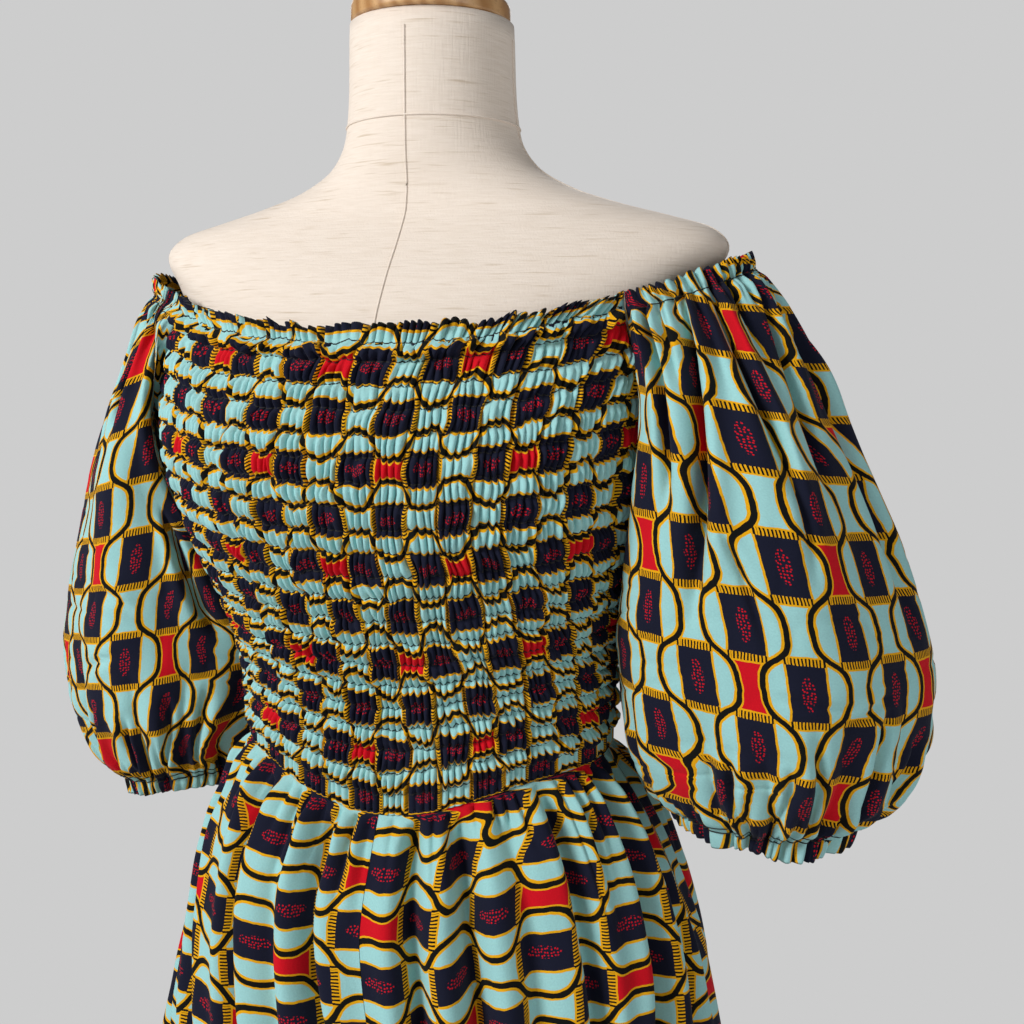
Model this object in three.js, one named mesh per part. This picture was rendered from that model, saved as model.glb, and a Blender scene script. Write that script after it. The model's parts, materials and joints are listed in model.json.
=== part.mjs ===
// A wide leg jumpsuit with a shirred off-shoulder bodice and puff sleeves, worn by a plain dress form.
// Millimetres, +Z up. The origin is on the floor, at the centre of the stand's base. The front of the
// garment faces -Y, and "left" is the wearer's left, which is +X.
import * as THREE from "three";

// ---- Driving dimensions ----
const SEAM_GAP = 0.3; // between two pieces that are sewn together
const SEAM_ANGLE = 0.0009; // half that gap, as an angle about the body's axis
const CLOTH = 2; // wall of a single layer of cloth
const SHOULDER_Z = 1366; // the neck edge where it passes round the shoulder
const NECK_CENTRE_Z = { front: 1317, back: 1328 }; // the neck edge at the middle of the front and back
const NECK_CURVE = 1.35; // how soon the neck edge drops from the shoulder
const WAIST_Z = 1050; // the waist seam at the sides
const WAIST_DIP = { front: 24, back: 9 }; // how far the waist seam sags at the middle
const UNDERARM_Z = 1256; // the lowest point of the armhole
const ARMHOLE_TOP_ANGLE = (42 * Math.PI) / 180; // from the side to where the armhole meets the neck edge
const ARMHOLE_CURVE = 1.4; // how round the bottom of the armhole is
const ARMHOLE_SEAM_ANGLE = 0.004; // half the gap along the armhole, as an angle about the body's axis
const WAIST_HALF_WIDTH = 121;
const CROTCH_Z = 745;
const HEM_Z = 60;
// The centre seam is pushed aside below the waist, so that the pole runs down one leg.
const CENTRE_SEAM_SHIFT = { by: 32, from: 980, over: 200 };

// The plain inside of the bodice, as sections of a rounded oval: half sizes, how far its centre lies
// behind the origin and towards the wearer's left, and the power that squares it.
const BODICE = [
  { z: 1000, wide: 121, deep: 92, back: 0, lean: 0, power: 2.2 },
  { z: 1055, wide: 119, deep: 90, back: 0, lean: 0, power: 2.2 },
  { z: 1100, wide: 120, deep: 94, back: -1, lean: 0, power: 2.2 },
  { z: 1140, wide: 127, deep: 101, back: -4, lean: -3, power: 2.2 },
  { z: 1180, wide: 140, deep: 108, back: -7, lean: -7, power: 2.2 },
  { z: 1215, wide: 151, deep: 112, back: -9, lean: -10, power: 2.25 },
  { z: 1255, wide: 158, deep: 112, back: -9, lean: -10, power: 2.3 },
  { z: 1290, wide: 162, deep: 108, back: -6, lean: -6, power: 2.3 },
  { z: 1320, wide: 169, deep: 101, back: -1, lean: -3, power: 2.35 },
  { z: 1345, wide: 182, deep: 89, back: 4, lean: 0, power: 2.4 },
  { z: 1366, wide: 197, deep: 76, back: 8, lean: 0, power: 2.4 },
  { z: 1380, wide: 200, deep: 66, back: 9, lean: 0, power: 2.4 },
];

// The dress form's sections, from its flat underside to the top of its neck.
const FORM = [
  { z: 835, wide: 148, deep: 99, back: 6, lean: 0, power: 2.3 },
  { z: 842, wide: 156, deep: 106, back: 6, lean: 0, power: 2.3 },
  { z: 880, wide: 160, deep: 109, back: 6, lean: 0, power: 2.3 },
  { z: 930, wide: 150, deep: 104, back: 5, lean: 0, power: 2.25 },
  { z: 985, wide: 124, deep: 92, back: 2, lean: 0, power: 2.2 },
  { z: 1050, wide: 110, deep: 83, back: 0, lean: 0, power: 2.2 },
  { z: 1100, wide: 113, deep: 87, back: -1, lean: 0, power: 2.2 },
  { z: 1140, wide: 118, deep: 93, back: -4, lean: 0, power: 2.2 },
  { z: 1180, wide: 126, deep: 99, back: -7, lean: 0, power: 2.2 },
  { z: 1215, wide: 134, deep: 103, back: -9, lean: 0, power: 2.2 },
  { z: 1255, wide: 141, deep: 103, back: -9, lean: 0, power: 2.25 },
  { z: 1290, wide: 149, deep: 99, back: -6, lean: 0, power: 2.3 },
  { z: 1320, wide: 159, deep: 93, back: -1, lean: 0, power: 2.3 },
  { z: 1345, wide: 174, deep: 82, back: 4, lean: 0, power: 2.35 },
  { z: 1366, wide: 188, deep: 69, back: 8, lean: 0, power: 2.35 },
  { z: 1379, wide: 178, deep: 60, back: 9, lean: 0, power: 2.3 },
  { z: 1387, wide: 152, deep: 56, back: 10, lean: 0, power: 2.25 },
  { z: 1395, wide: 122, deep: 54, back: 10, lean: 0, power: 2.2 },
  { z: 1405, wide: 92, deep: 53, back: 10, lean: 0, power: 2.1 },
  { z: 1419, wide: 68, deep: 53, back: 8, lean: 0, power: 2 },
  { z: 1441, wide: 56, deep: 51, back: 5, lean: 0, power: 2 },
  { z: 1506, wide: 52, deep: 49, back: 2, lean: 0, power: 2 },
];

// Shirring: the bodice's elastic rows, counted down from the neck edge as shares of the bodice's height.
const SHIRRING = {
  casing: 0.045, // the elastic casing along the neck edge
  firstRow: 0.13, // the first row under the loose band below the casing
  rows: 18, // rows from there to the waist seam
  plainEvery: 3, // the plain inside has a row at one elastic row in three below the armholes
  puckers: 24, // across each panel at its widest
  fewest: 12, // across a row between the armholes
  ridge: 6, // height of a pucker over the plain inside
  valley: 3, // height between two puckers
  stitch: 1.6, // height at a row of elastic thread
  edgeTaper: 0.08, // share of the width over which puckers fade out at a seam
};

// Sections of each sleeve from the neck edge down to its hem, as distances from the origin: its side
// next to the bodice, its outer side, its front and its back. The two hang a little differently.
const SLEEVES = {
  left: [
    { z: 1366, inner: 118, outer: 201, front: -62, back: 78 },
    { z: 1313, inner: 132, outer: 230, front: -84, back: 90 },
    { z: 1250, inner: 136, outer: 259, front: -92, back: 94 },
    { z: 1180, inner: 132, outer: 291, front: -90, back: 97 },
    { z: 1120, inner: 130, outer: 311, front: -84, back: 98 },
    { z: 1075, inner: 136, outer: 310, front: -74, back: 92 },
    { z: 1045, inner: 148, outer: 296, front: -58, back: 80 },
    { z: 1026, inner: 163, outer: 276, front: -42, back: 66 },
    { z: 1010, inner: 166, outer: 274, front: -40, back: 64 },
  ],
  right: [
    { z: 1366, inner: 118, outer: 201, front: -62, back: 78 },
    { z: 1313, inner: 136, outer: 215, front: -66, back: 92 },
    { z: 1250, inner: 142, outer: 235, front: -62, back: 103 },
    { z: 1175, inner: 130, outer: 266, front: -52, back: 110 },
    { z: 1105, inner: 126, outer: 289, front: -44, back: 114 },
    { z: 1052, inner: 132, outer: 286, front: -36, back: 110 },
    { z: 1022, inner: 146, outer: 270, front: -22, back: 98 },
    { z: 1002, inner: 160, outer: 252, front: -8, back: 85 },
    { z: 986, inner: 162, outer: 250, front: -6, back: 83 },
  ],
};
const SLEEVE_TILT = { left: 6, right: 20 }; // how much higher a sleeve's hem is next to the bodice
const SLEEVE_GRID = { columns: 40, rows: 11 };
const SLEEVE_TOP = {
  neckShare: 0.62, // share of the top edge that belongs to the neck edge
  lift: 2, // how far the edge stands out along the armhole
  liftFades: 0.05, // share of the edge over which it comes back in
  firstDrop: 0.028, // share of the sleeve's height at the first row under the top edge
};
const SLEEVE_GATHERS = { top: 13, cuff: 13, topDeep: 3.2, cuffDeep: 4.5 };
const SLEEVE_FOLDS = { count: 6, deep: 5, turn: { left: 0.4, right: 1.9 } };
const BODY_CLEARANCE = 11; // from the plain bodice to a hanging sleeve

// Sections of the legs: outer half width, half depth, and how far the inner side is from the seam plane.
const LEGS = [
  { z: 1050, wide: 121, deep: 92, back: 0, lean: 0, apart: 0 },
  { z: 1030, wide: 133, deep: 103, back: 0, lean: 2, apart: 0 },
  { z: 990, wide: 153, deep: 119, back: 1, lean: 5, apart: 0 },
  { z: 930, wide: 171, deep: 131, back: 2, lean: 9, apart: 0 },
  { z: 870, wide: 184, deep: 139, back: 3, lean: 9, apart: 0 },
  { z: 800, wide: 197, deep: 145, back: 3, lean: 8, apart: 0 },
  { z: 745, wide: 208, deep: 147, back: 3, lean: 6, apart: 0 },
  { z: 620, wide: 236, deep: 150, back: 2, lean: 3, apart: 3 },
  { z: 420, wide: 280, deep: 157, back: 0, lean: 0, apart: 5 },
  { z: 220, wide: 320, deep: 164, back: 0, lean: 0, apart: 7 },
  { z: 60, wide: 350, deep: 170, back: 0, lean: 0, apart: 8 },
];
const CROTCH_CURVE_HEIGHT = 110; // over which the centre seam curves under to the inseam
const LEG_GRID = { columns: 20, rows: 11, crowding: 1.35 }; // a gather is two columns wide
const LEG_ROUNDNESS = 0.92; // a power that fills out the front and back of a leg
const WAIST_GATHERS = { deep: 3.4, fadesOver: 0.16 };
const LEG_SEAMS = { plainShare: 0.11, settle: { waist: 3, hem: 6 }, startsAt: 0.03, drapeShare: 0.12 };
// Folds of a leg panel from its centre or inner edge (0) to its side seam (1): how deep each is at the waist
// and at the hem, and its share of the width.
const LEG_FOLDS = {
  front: [
    { at: 0.1, waist: 7, hem: 5, wide: 0.07 },
    { at: 0.24, waist: 8, hem: 12, wide: 0.08 },
    { at: 0.39, waist: 7, hem: 4, wide: 0.07 },
    { at: 0.54, waist: 8, hem: 13, wide: 0.08 },
    { at: 0.7, waist: 7, hem: 6, wide: 0.07 },
    { at: 0.85, waist: 7, hem: 11, wide: 0.08 },
  ],
  back: [
    { at: 0.12, waist: 7, hem: 7, wide: 0.08 },
    { at: 0.28, waist: 8, hem: 12, wide: 0.08 },
    { at: 0.44, waist: 7, hem: 6, wide: 0.07 },
    { at: 0.6, waist: 8, hem: 12, wide: 0.08 },
    { at: 0.76, waist: 7, hem: 5, wide: 0.07 },
    { at: 0.9, waist: 6, hem: 9, wide: 0.06 },
  ],
};

const POLE_RADIUS = 12.5;
const STAND = { baseRadius: 190, baseHeight: 7, collarRadius: 24, collarHeight: 34, flangeRadius: 45 };
const NECK_CAP = { radius: 50, height: 14, knobRadius: 12, knobHeight: 22 };

// ---- Materials ----
const printedCotton = () => new THREE.MeshStandardMaterial({ color: 0x9fd6d6, roughness: 0.85 });
const linen = () => new THREE.MeshStandardMaterial({ color: 0xe3d5c3, roughness: 0.9 });
const beech = () => new THREE.MeshStandardMaterial({ color: 0xc9a06c, roughness: 0.5 });
const coatedSteel = () => new THREE.MeshStandardMaterial({ color: 0xe9e6e0, roughness: 0.4 });

// ---- Small helpers ----
const clamp01 = (v) => Math.min(1, Math.max(0, v));
const ease = (v) => clamp01(v) ** 2 * (3 - 2 * clamp01(v));
const mix = (a, b, t) => a + (b - a) * t;
const bent = (v, power) => Math.sign(v) * Math.abs(v) ** (2 / power);

// The value of a table's column at height z, on a smooth curve through its rows.
function at(table, column, z) {
  const rising = table[0].z < table[table.length - 1].z;
  const rows = rising ? table : [...table].reverse();
  const height = Math.min(rows[rows.length - 1].z, Math.max(rows[0].z, z));
  let i = 0;
  while (i < rows.length - 2 && rows[i + 1].z < height) i++;
  const slope = (k) => {
    const a = rows[Math.max(0, k - 1)];
    const b = rows[Math.min(rows.length - 1, k + 1)];
    return (b[column] - a[column]) / (b.z - a.z);
  };
  const span = rows[i + 1].z - rows[i].z;
  const t = (height - rows[i].z) / span;
  const from = rows[i][column];
  const to = rows[i + 1][column];
  return (
    from * (2 * t ** 3 - 3 * t ** 2 + 1) +
    to * (3 * t ** 2 - 2 * t ** 3) +
    slope(i) * span * (t ** 3 - 2 * t ** 2 + t) +
    slope(i + 1) * span * (t ** 3 - t ** 2)
  );
}

// A point of a table's rounded oval at height z, moved out by a distance. Angle 0 is +X and -90 degrees
// is the front.
function ovalPoint(table, angle, z, out = 0) {
  const power = at(table, "power", z);
  return new THREE.Vector3(
    at(table, "lean", z) + (at(table, "wide", z) + out) * bent(Math.cos(angle), power),
    at(table, "back", z) + (at(table, "deep", z) + out) * bent(Math.sin(angle), power),
    z,
  );
}

// ---- Closed surfaces from rows of points ----
// A row is a list of { p, s }: a point and its share of the way along. Rows may have different counts.
class Surface {
  constructor() {
    this.points = [];
    this.triangles = [];
  }
  add(row) {
    return row.map(({ p, s }) => ({ i: this.points.push(p) - 1, s }));
  }
  // Joins two rows with triangles, going along whichever is behind.
  zip(a, b) {
    let i = 0;
    let j = 0;
    while (i < a.length - 1 || j < b.length - 1) {
      const stepA = j === b.length - 1 || (i < a.length - 1 && a[i + 1].s <= b[j + 1].s);
      this.triangles.push(stepA ? [a[i].i, a[i + 1].i, b[j].i] : [a[i].i, b[j + 1].i, b[j].i]);
      if (stepA) i++;
      else j++;
    }
  }
  geometry() {
    const flip = this.volume() < 0;
    const geometry = new THREE.BufferGeometry();
    const numbers = this.points.flatMap((p) => [p.x, p.y, p.z]);
    geometry.setAttribute("position", new THREE.Float32BufferAttribute(numbers, 3));
    geometry.setIndex(this.triangles.flatMap(([a, b, c]) => (flip ? [a, c, b] : [a, b, c])));
    geometry.computeVertexNormals();
    return geometry;
  }
  volume() {
    const cross = new THREE.Vector3();
    return this.triangles.reduce((sum, [a, b, c]) => {
      cross.crossVectors(this.points[b], this.points[c]);
      return sum + this.points[a].dot(cross);
    }, 0);
  }
}

// A wall between outer and inner rows, both from the top down. Closed rows run all the way round.
function wall(outerRows, innerRows, closed) {
  const surface = new Surface();
  const close = (row) => (closed ? [...row, { i: row[0].i, s: row[0].s + 1 }] : row);
  const outer = outerRows.map((row) => close(surface.add(row)));
  const inner = innerRows.map((row) => close(surface.add(row)));
  for (let k = 1; k < outer.length; k++) surface.zip(outer[k - 1], outer[k]);
  for (let k = 1; k < inner.length; k++) surface.zip(inner[k], inner[k - 1]);
  surface.zip(inner[0], outer[0]);
  surface.zip(outer[outer.length - 1], inner[inner.length - 1]);
  if (!closed) {
    const side = (rows, end) =>
      rows.map((row, k) => ({ i: row[end ? row.length - 1 : 0].i, s: k / (rows.length - 1) }));
    surface.zip(side(outer, false), side(inner, false));
    surface.zip(side(inner, true), side(outer, true));
  }
  return surface.geometry();
}

// Moves every point of a grid along its own normal; levelTop keeps the first row's normals level.
function offsetGrid(grid, distance, closed, levelTop) {
  const rows = grid.length;
  const columns = grid[0].length;
  return grid.map((row, i) =>
    row.map(({ p, s }, j) => {
      const left = closed ? row[(j + columns - 1) % columns].p : row[Math.max(0, j - 1)].p;
      const right = closed ? row[(j + 1) % columns].p : row[Math.min(columns - 1, j + 1)].p;
      const up = grid[Math.max(0, i - 1)][j].p;
      const down = grid[Math.min(rows - 1, i + 1)][j].p;
      const normal = right.clone().sub(left).cross(up.clone().sub(down));
      if (levelTop && i === 0) normal.z = 0;
      return { p: p.clone().add(normal.normalize().multiplyScalar(distance)), s };
    }),
  );
}

// ---- Edges of the garment's pieces ----
const sideAngle = (angle) => Math.abs(Math.asin(Math.min(1, Math.abs(Math.sin(angle)))));
const faceOf = (angle) => (Math.sin(angle) < 0 ? "front" : "back");
const neckZ = (angle) => {
  const face = faceOf(angle);
  return SHOULDER_Z - (SHOULDER_Z - NECK_CENTRE_Z[face]) * Math.sin(sideAngle(angle)) ** NECK_CURVE;
};
const waistZ = (x, face) => WAIST_Z - WAIST_DIP[face] * Math.max(0, 1 - (x / WAIST_HALF_WIDTH) ** 2) ** 2.5;
const armholeZ = (angle) => {
  const face = faceOf(angle) === "front" ? -1 : 1;
  const top = neckZ(face * ARMHOLE_TOP_ANGLE);
  return UNDERARM_Z + (top - UNDERARM_Z) * (sideAngle(angle) / ARMHOLE_TOP_ANGLE) ** ARMHOLE_CURVE;
};

// ---- Bodice panels ----
// The height of a bodice row at an angle: a share of the way from the neck edge to the waist seam.
function bodiceZ(share, angle, face) {
  const x = WAIST_HALF_WIDTH * bent(Math.cos(angle), BODICE[0].power);
  return mix(neckZ(angle), waistZ(x, face) + SEAM_GAP / 2, share);
}

// The angle from the side at which a bodice row ends: at the side seam, or further in along the armhole.
function rowEnd(share, face) {
  const sign = face === "front" ? -1 : 1;
  const height = (side) => bodiceZ(share, sign * side, face);
  let low = 0;
  let high = ARMHOLE_TOP_ANGLE;
  if (height(0) < UNDERARM_Z) return 0;
  for (let n = 0; n < 40; n++) {
    const middle = (low + high) / 2;
    if (height(middle) > armholeZ(sign * middle)) low = middle;
    else high = middle;
  }
  return high;
}

function bodiceRow(share, face, count, heightOf) {
  const end = rowEnd(share, face);
  const from = end > 0 ? end + ARMHOLE_SEAM_ANGLE : SEAM_ANGLE;
  const sign = face === "front" ? -1 : 1;
  return Array.from({ length: count + 1 }, (_, k) => {
    const s = k / count;
    const angle = sign * mix(from, Math.PI - from, s);
    const z = bodiceZ(share, angle, face);
    const fade = ease(Math.min(s, 1 - s) / SHIRRING.edgeTaper);
    return { p: ovalPoint(BODICE, angle, z, heightOf(k, fade)), s };
  });
}

function bodicePanel(face) {
  const { casing, firstRow, rows, plainEvery, puckers, fewest, ridge, valley, stitch } = SHIRRING;
  const stitched = [0, casing, ...Array.from({ length: rows + 1 }, (_, k) => mix(firstRow, 1, k / rows))];
  const outer = [];
  stitched.forEach((share, k) => {
    const across = 1 - (2 * rowEnd(share, face)) / Math.PI;
    const count = Math.max(fewest, Math.round(puckers * across));
    outer.push(bodiceRow(share, face, count, () => stitch));
    if (k === stitched.length - 1) return;
    const middle = (share + stitched[k + 1]) / 2;
    outer.push(bodiceRow(middle, face, 2 * count, (i, fade) => mix(stitch, i % 2 ? ridge : valley, fade)));
  });
  const besideArmhole = 0.05 + (SHOULDER_Z - UNDERARM_Z) / (SHOULDER_Z - WAIST_Z);
  const plainShares = stitched.filter(
    (share, k) => share < besideArmhole || (stitched.length - 1 - k) % plainEvery === 0,
  );
  const plain = plainShares.map((share) => bodiceRow(share, face, puckers, () => 0));
  return wall(outer, plain, false);
}

// ---- Sleeves ----
// The top edge of a sleeve: the armhole up to the neck edge, then the neck edge over the shoulder.
// turn runs once round the sleeve from the underarm by the front, the outer side and the back.
function sleeveTop(side, turn) {
  const half = turn < 0.5 ? turn : 1 - turn; // the front half and back half mirror each other
  const face = turn < 0.5 ? -1 : 1;
  const armholeShare = (1 - SLEEVE_TOP.neckShare) / 2;
  const away =
    half < armholeShare
      ? (ARMHOLE_TOP_ANGLE * half) / armholeShare
      : ARMHOLE_TOP_ANGLE * (1 - (half - armholeShare) / (0.5 - armholeShare));
  const angle = face * Math.max(away - ARMHOLE_SEAM_ANGLE, 0.0005);
  const z = half < armholeShare ? armholeZ(angle) + 3 * SEAM_GAP : neckZ(angle);
  const lift = SLEEVE_TOP.lift * (1 - ease((half - armholeShare) / SLEEVE_TOP.liftFades));
  const point = ovalPoint(BODICE, side === "left" ? angle : Math.PI - angle, z, CLOTH / 2 + lift);
  point.x = Math.abs(point.x);
  return point;
}

// A sleeve's own oval at height z and a turn round it, on the wearer's left.
function sleeveRing(side, turn, z) {
  const table = SLEEVES[side];
  const inner = at(table, "inner", z);
  const outer = at(table, "outer", z);
  const front = at(table, "front", z);
  const back = at(table, "back", z);
  return {
    axis: new THREE.Vector3((inner + outer) / 2, (front + back) / 2, z),
    point: new THREE.Vector3(
      (inner + outer) / 2 - ((outer - inner) / 2) * Math.cos(2 * Math.PI * turn),
      (front + back) / 2 - ((back - front) / 2) * Math.sin(2 * Math.PI * turn),
      z,
    ),
  };
}

// Height of the gathers and folds of a sleeve over its oval.
function sleeveWave(side, turn, drop) {
  const { top, cuff, topDeep, cuffDeep } = SLEEVE_GATHERS;
  const around = 2 * Math.PI * turn;
  const underNeck = ease((Math.min(turn, 1 - turn) - (1 - SLEEVE_TOP.neckShare) / 2) / 0.04);
  const topWave = topDeep * underNeck * ease(drop / 0.04) * (1 - ease(drop / 0.35)) * Math.cos(top * around);
  const cuffWave = cuffDeep * ease((drop - 0.76) / 0.2) * Math.cos(cuff * around);
  const between = ease(drop / 0.25) * (1 - ease((drop - 0.75) / 0.2));
  const phase = SLEEVE_FOLDS.count * around + SLEEVE_FOLDS.turn[side] + 2 * drop;
  return topWave + cuffWave + SLEEVE_FOLDS.deep * between * Math.cos(phase);
}

function sleevePoint(side, turn, drop) {
  const sign = side === "left" ? 1 : -1;
  const top = sleeveTop(side, turn);
  const table = SLEEVES[side];
  const hem = table[table.length - 1].z + SLEEVE_TILT[side] * (0.5 + 0.5 * Math.cos(2 * Math.PI * turn));
  const z = mix(top.z, hem, drop);
  const { axis, point } = sleeveRing(side, turn, z);
  const start = sleeveRing(side, turn, top.z).point;
  point.addScaledVector(top.clone().sub(start).setZ(0), 1 - ease(drop / 0.4));
  const away = point.clone().sub(axis).setZ(0).normalize();
  point.addScaledVector(away, sleeveWave(side, turn, drop));
  if (drop > 0) clearBody(point, sign, mix(CLOTH, BODY_CLEARANCE, ease(drop / 0.03)));
  point.x *= sign;
  return point;
}

// Moves a sleeve's point, still on the wearer's left, out to a distance from the plain bodice and legs.
function clearBody(point, sign, distance) {
  for (const table of [BODICE, LEGS]) {
    const wide = at(table, "wide", point.z) + distance;
    const deep = at(table, "deep", point.z) + distance;
    const lean = sign * at(table, "lean", point.z);
    const back = at(table, "back", point.z);
    const power = table === BODICE ? at(table, "power", point.z) : 2;
    const aside = Math.abs((point.x - lean) / wide) ** power;
    const ahead = Math.abs((point.y - back) / deep) ** power;
    const reach = (aside + ahead) ** (1 / power);
    const level = point.z < WAIST_Z === (table === LEGS);
    if (!level || reach >= 1) continue;
    point.x = lean + (point.x - lean) / reach;
    point.y = back + (point.y - back) / reach;
  }
}

function sleeve(side) {
  const { columns, rows } = SLEEVE_GRID;
  const sign = side === "left" ? 1 : -1;
  const grid = Array.from({ length: rows + 1 }, (_, i) => {
    const drop = i === 0 ? 0 : mix(SLEEVE_TOP.firstDrop, 1, (i - 1) / (rows - 1));
    const shares = Array.from({ length: columns }, (_, j) => j / columns);
    return shares.map((turn) => ({ p: sleevePoint(side, turn, drop), s: turn }));
  });
  const outward = sign * (CLOTH / 2);
  return wall(offsetGrid(grid, -outward, true, true), offsetGrid(grid, outward, true, true), true);
}

// ---- Legs ----
function legPoint(side, face, across, down) {
  const sideSign = side === "left" ? 1 : -1;
  const faceSign = face === "front" ? -1 : 1;
  const level = mix(WAIST_Z, HEM_Z, down);
  const curve = ease((CROTCH_Z + CROTCH_CURVE_HEIGHT - level) / CROTCH_CURVE_HEIGHT);
  const start = mix(Math.PI / 2, Math.PI, curve); // a quarter turn at the centre seam, half at the inseam
  const { by, from, over } = CENTRE_SEAM_SHIFT;
  const shift = sideSign * by * ease((from - level) / over);
  const seamX = shift + SEAM_GAP / 2 + 0.6 * CLOTH * curve + at(LEGS, "apart", level);
  const outerX = at(LEGS, "wide", level) + sideSign * at(LEGS, "lean", level);
  const radius = (outerX - seamX) / (1 - Math.cos(start));
  const centre = outerX - radius;
  const endGap = SEAM_ANGLE * 2;
  const angle = mix(start - endGap * curve, endGap, across);
  const begins = ease(down / LEG_SEAMS.startsAt); // the waist seam itself stays plain
  const fold = LEG_FOLDS[face].reduce((sum, { at: where, waist, hem: low, wide }) => {
    const bump = Math.exp(-(((across - where) / wide) ** 2));
    const deep = mix(waist, low, ease(down * 1.3)) * begins;
    return sum + deep * bump;
  }, 0);
  const { plainShare, settle, drapeShare } = LEG_SEAMS;
  const sunk = mix(settle.waist, settle.hem, down) * begins; // the cloth between folds sinks
  const gathers = WAIST_GATHERS.deep * begins * (1 - ease(down / WAIST_GATHERS.fadesOver));
  const wave = gathers * Math.cos(Math.PI * LEG_GRID.columns * across);
  const fade = ease(across / plainShare) * ease((1 - across) / plainShare);
  const relief = (fold + wave - sunk) * fade;
  const round = Math.sin(angle) ** LEG_ROUNDNESS;
  const x = centre + (radius + relief) * Math.cos(angle);
  const back = at(LEGS, "back", level) * Math.sin(angle);
  const y = faceSign * (at(LEGS, "deep", level) + relief) * round + back;
  const drape = 1 - ease(down / drapeShare);
  const z = level + (waistZ(x, face) - WAIST_Z - SEAM_GAP / 2) * drape;
  return new THREE.Vector3(sideSign * x, y, z);
}

function legPanel(side, face) {
  const { columns, rows } = LEG_GRID;
  const grid = Array.from({ length: rows + 1 }, (_, i) => {
    const down = (i / rows) ** LEG_GRID.crowding;
    const shares = Array.from({ length: columns + 1 }, (_, j) => j / columns);
    return shares.map((across) => ({ p: legPoint(side, face, across, down), s: across }));
  });
  return wall(offsetGrid(grid, CLOTH / 2, false, true), offsetGrid(grid, -CLOTH / 2, false, true), false);
}

// ---- Dress form and stand ----
function form() {
  const around = 36;
  const surface = new Surface();
  const shares = Array.from({ length: around }, (_, k) => k / around);
  const rings = FORM.map(({ z }) =>
    surface.add(shares.map((share) => ({ p: ovalPoint(FORM, 2 * Math.PI * share, z), s: share }))),
  );
  const rows = rings.map((ring) => [...ring, { i: ring[0].i, s: 1 }]);
  const tip = (z) => surface.add([{ p: new THREE.Vector3(0, at(FORM, "back", z), z), s: 0 }]);
  surface.zip(tip(FORM[0].z), rows[0]);
  for (let k = 1; k < rows.length; k++) surface.zip(rows[k - 1], rows[k]);
  surface.zip(rows[rows.length - 1], tip(FORM[FORM.length - 1].z));
  return surface.geometry();
}

// A turned solid about +Z from its profile of [radius, z] pairs, both ends on the axis.
function turned(profile, sides = 40) {
  const geometry = new THREE.LatheGeometry(profile.map(([r, z]) => new THREE.Vector2(r, z)), sides);
  return geometry.rotateX(Math.PI / 2);
}

function neckCap() {
  const z = FORM[FORM.length - 1].z + SEAM_GAP;
  const { radius, height, knobRadius, knobHeight } = NECK_CAP;
  return turned([
    [0, z],
    [radius - 3, z],
    [radius, z + 3],
    [radius, z + height - 4],
    [radius - 5, z + height],
    [knobRadius * 0.6, z + height + 1],
    [knobRadius * 0.5, z + height + 6],
    [knobRadius, z + height + 12],
    [knobRadius * 0.8, z + height + knobHeight - 2],
    [0, z + height + knobHeight],
  ], 28);
}

function standBase() {
  const { baseRadius, baseHeight, collarRadius, collarHeight } = STAND;
  return turned([
    [0, 0],
    [baseRadius - 2, 0],
    [baseRadius, 2],
    [baseRadius, baseHeight - 3],
    [baseRadius - 4, baseHeight],
    [collarRadius + 6, baseHeight + 3],
    [collarRadius, baseHeight + 8],
    [collarRadius - 3, baseHeight + collarHeight],
    [0, baseHeight + collarHeight],
  ]);
}

function standPole() {
  const bottom = STAND.baseHeight + STAND.collarHeight + SEAM_GAP;
  const top = FORM[0].z - SEAM_GAP;
  const flange = 6;
  return turned([
    [0, bottom],
    [POLE_RADIUS, bottom],
    [POLE_RADIUS, top - flange - 24],
    [POLE_RADIUS + 6, top - flange],
    [STAND.flangeRadius, top - flange],
    [STAND.flangeRadius, top],
    [0, top],
  ], 20);
}

// ---- The object ----
const jumpsuit = new THREE.Group();
function place(name, geometry, finish) {
  const mesh = new THREE.Mesh(geometry, finish());
  mesh.name = name;
  jumpsuit.add(mesh);
}

for (const face of ["front", "back"]) place(`bodice_${face}`, bodicePanel(face), printedCotton);
for (const side of ["left", "right"]) {
  place(`sleeve_${side}`, sleeve(side), printedCotton);
  for (const face of ["front", "back"]) place(`leg_${side}_${face}`, legPanel(side, face), printedCotton);
}
place("form_torso", form(), linen);
place("form_neck_cap", neckCap(), beech);
place("stand_pole", standPole(), coatedSteel);
place("stand_base", standBase(), coatedSteel);

export default jumpsuit;
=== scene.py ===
"""A wide leg jumpsuit in wax printed cotton, worn by a limbless dress form on a round stand.

The garment's pieces are thin sheets, one for each piece that a maker cuts. Lengths are in millimetres
until a mesh is made, when they become metres. The front of the garment faces -Y and the wearer's left
is +X.
"""

import json
import logging
import math
from dataclasses import dataclass, field
from enum import Enum

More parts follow.
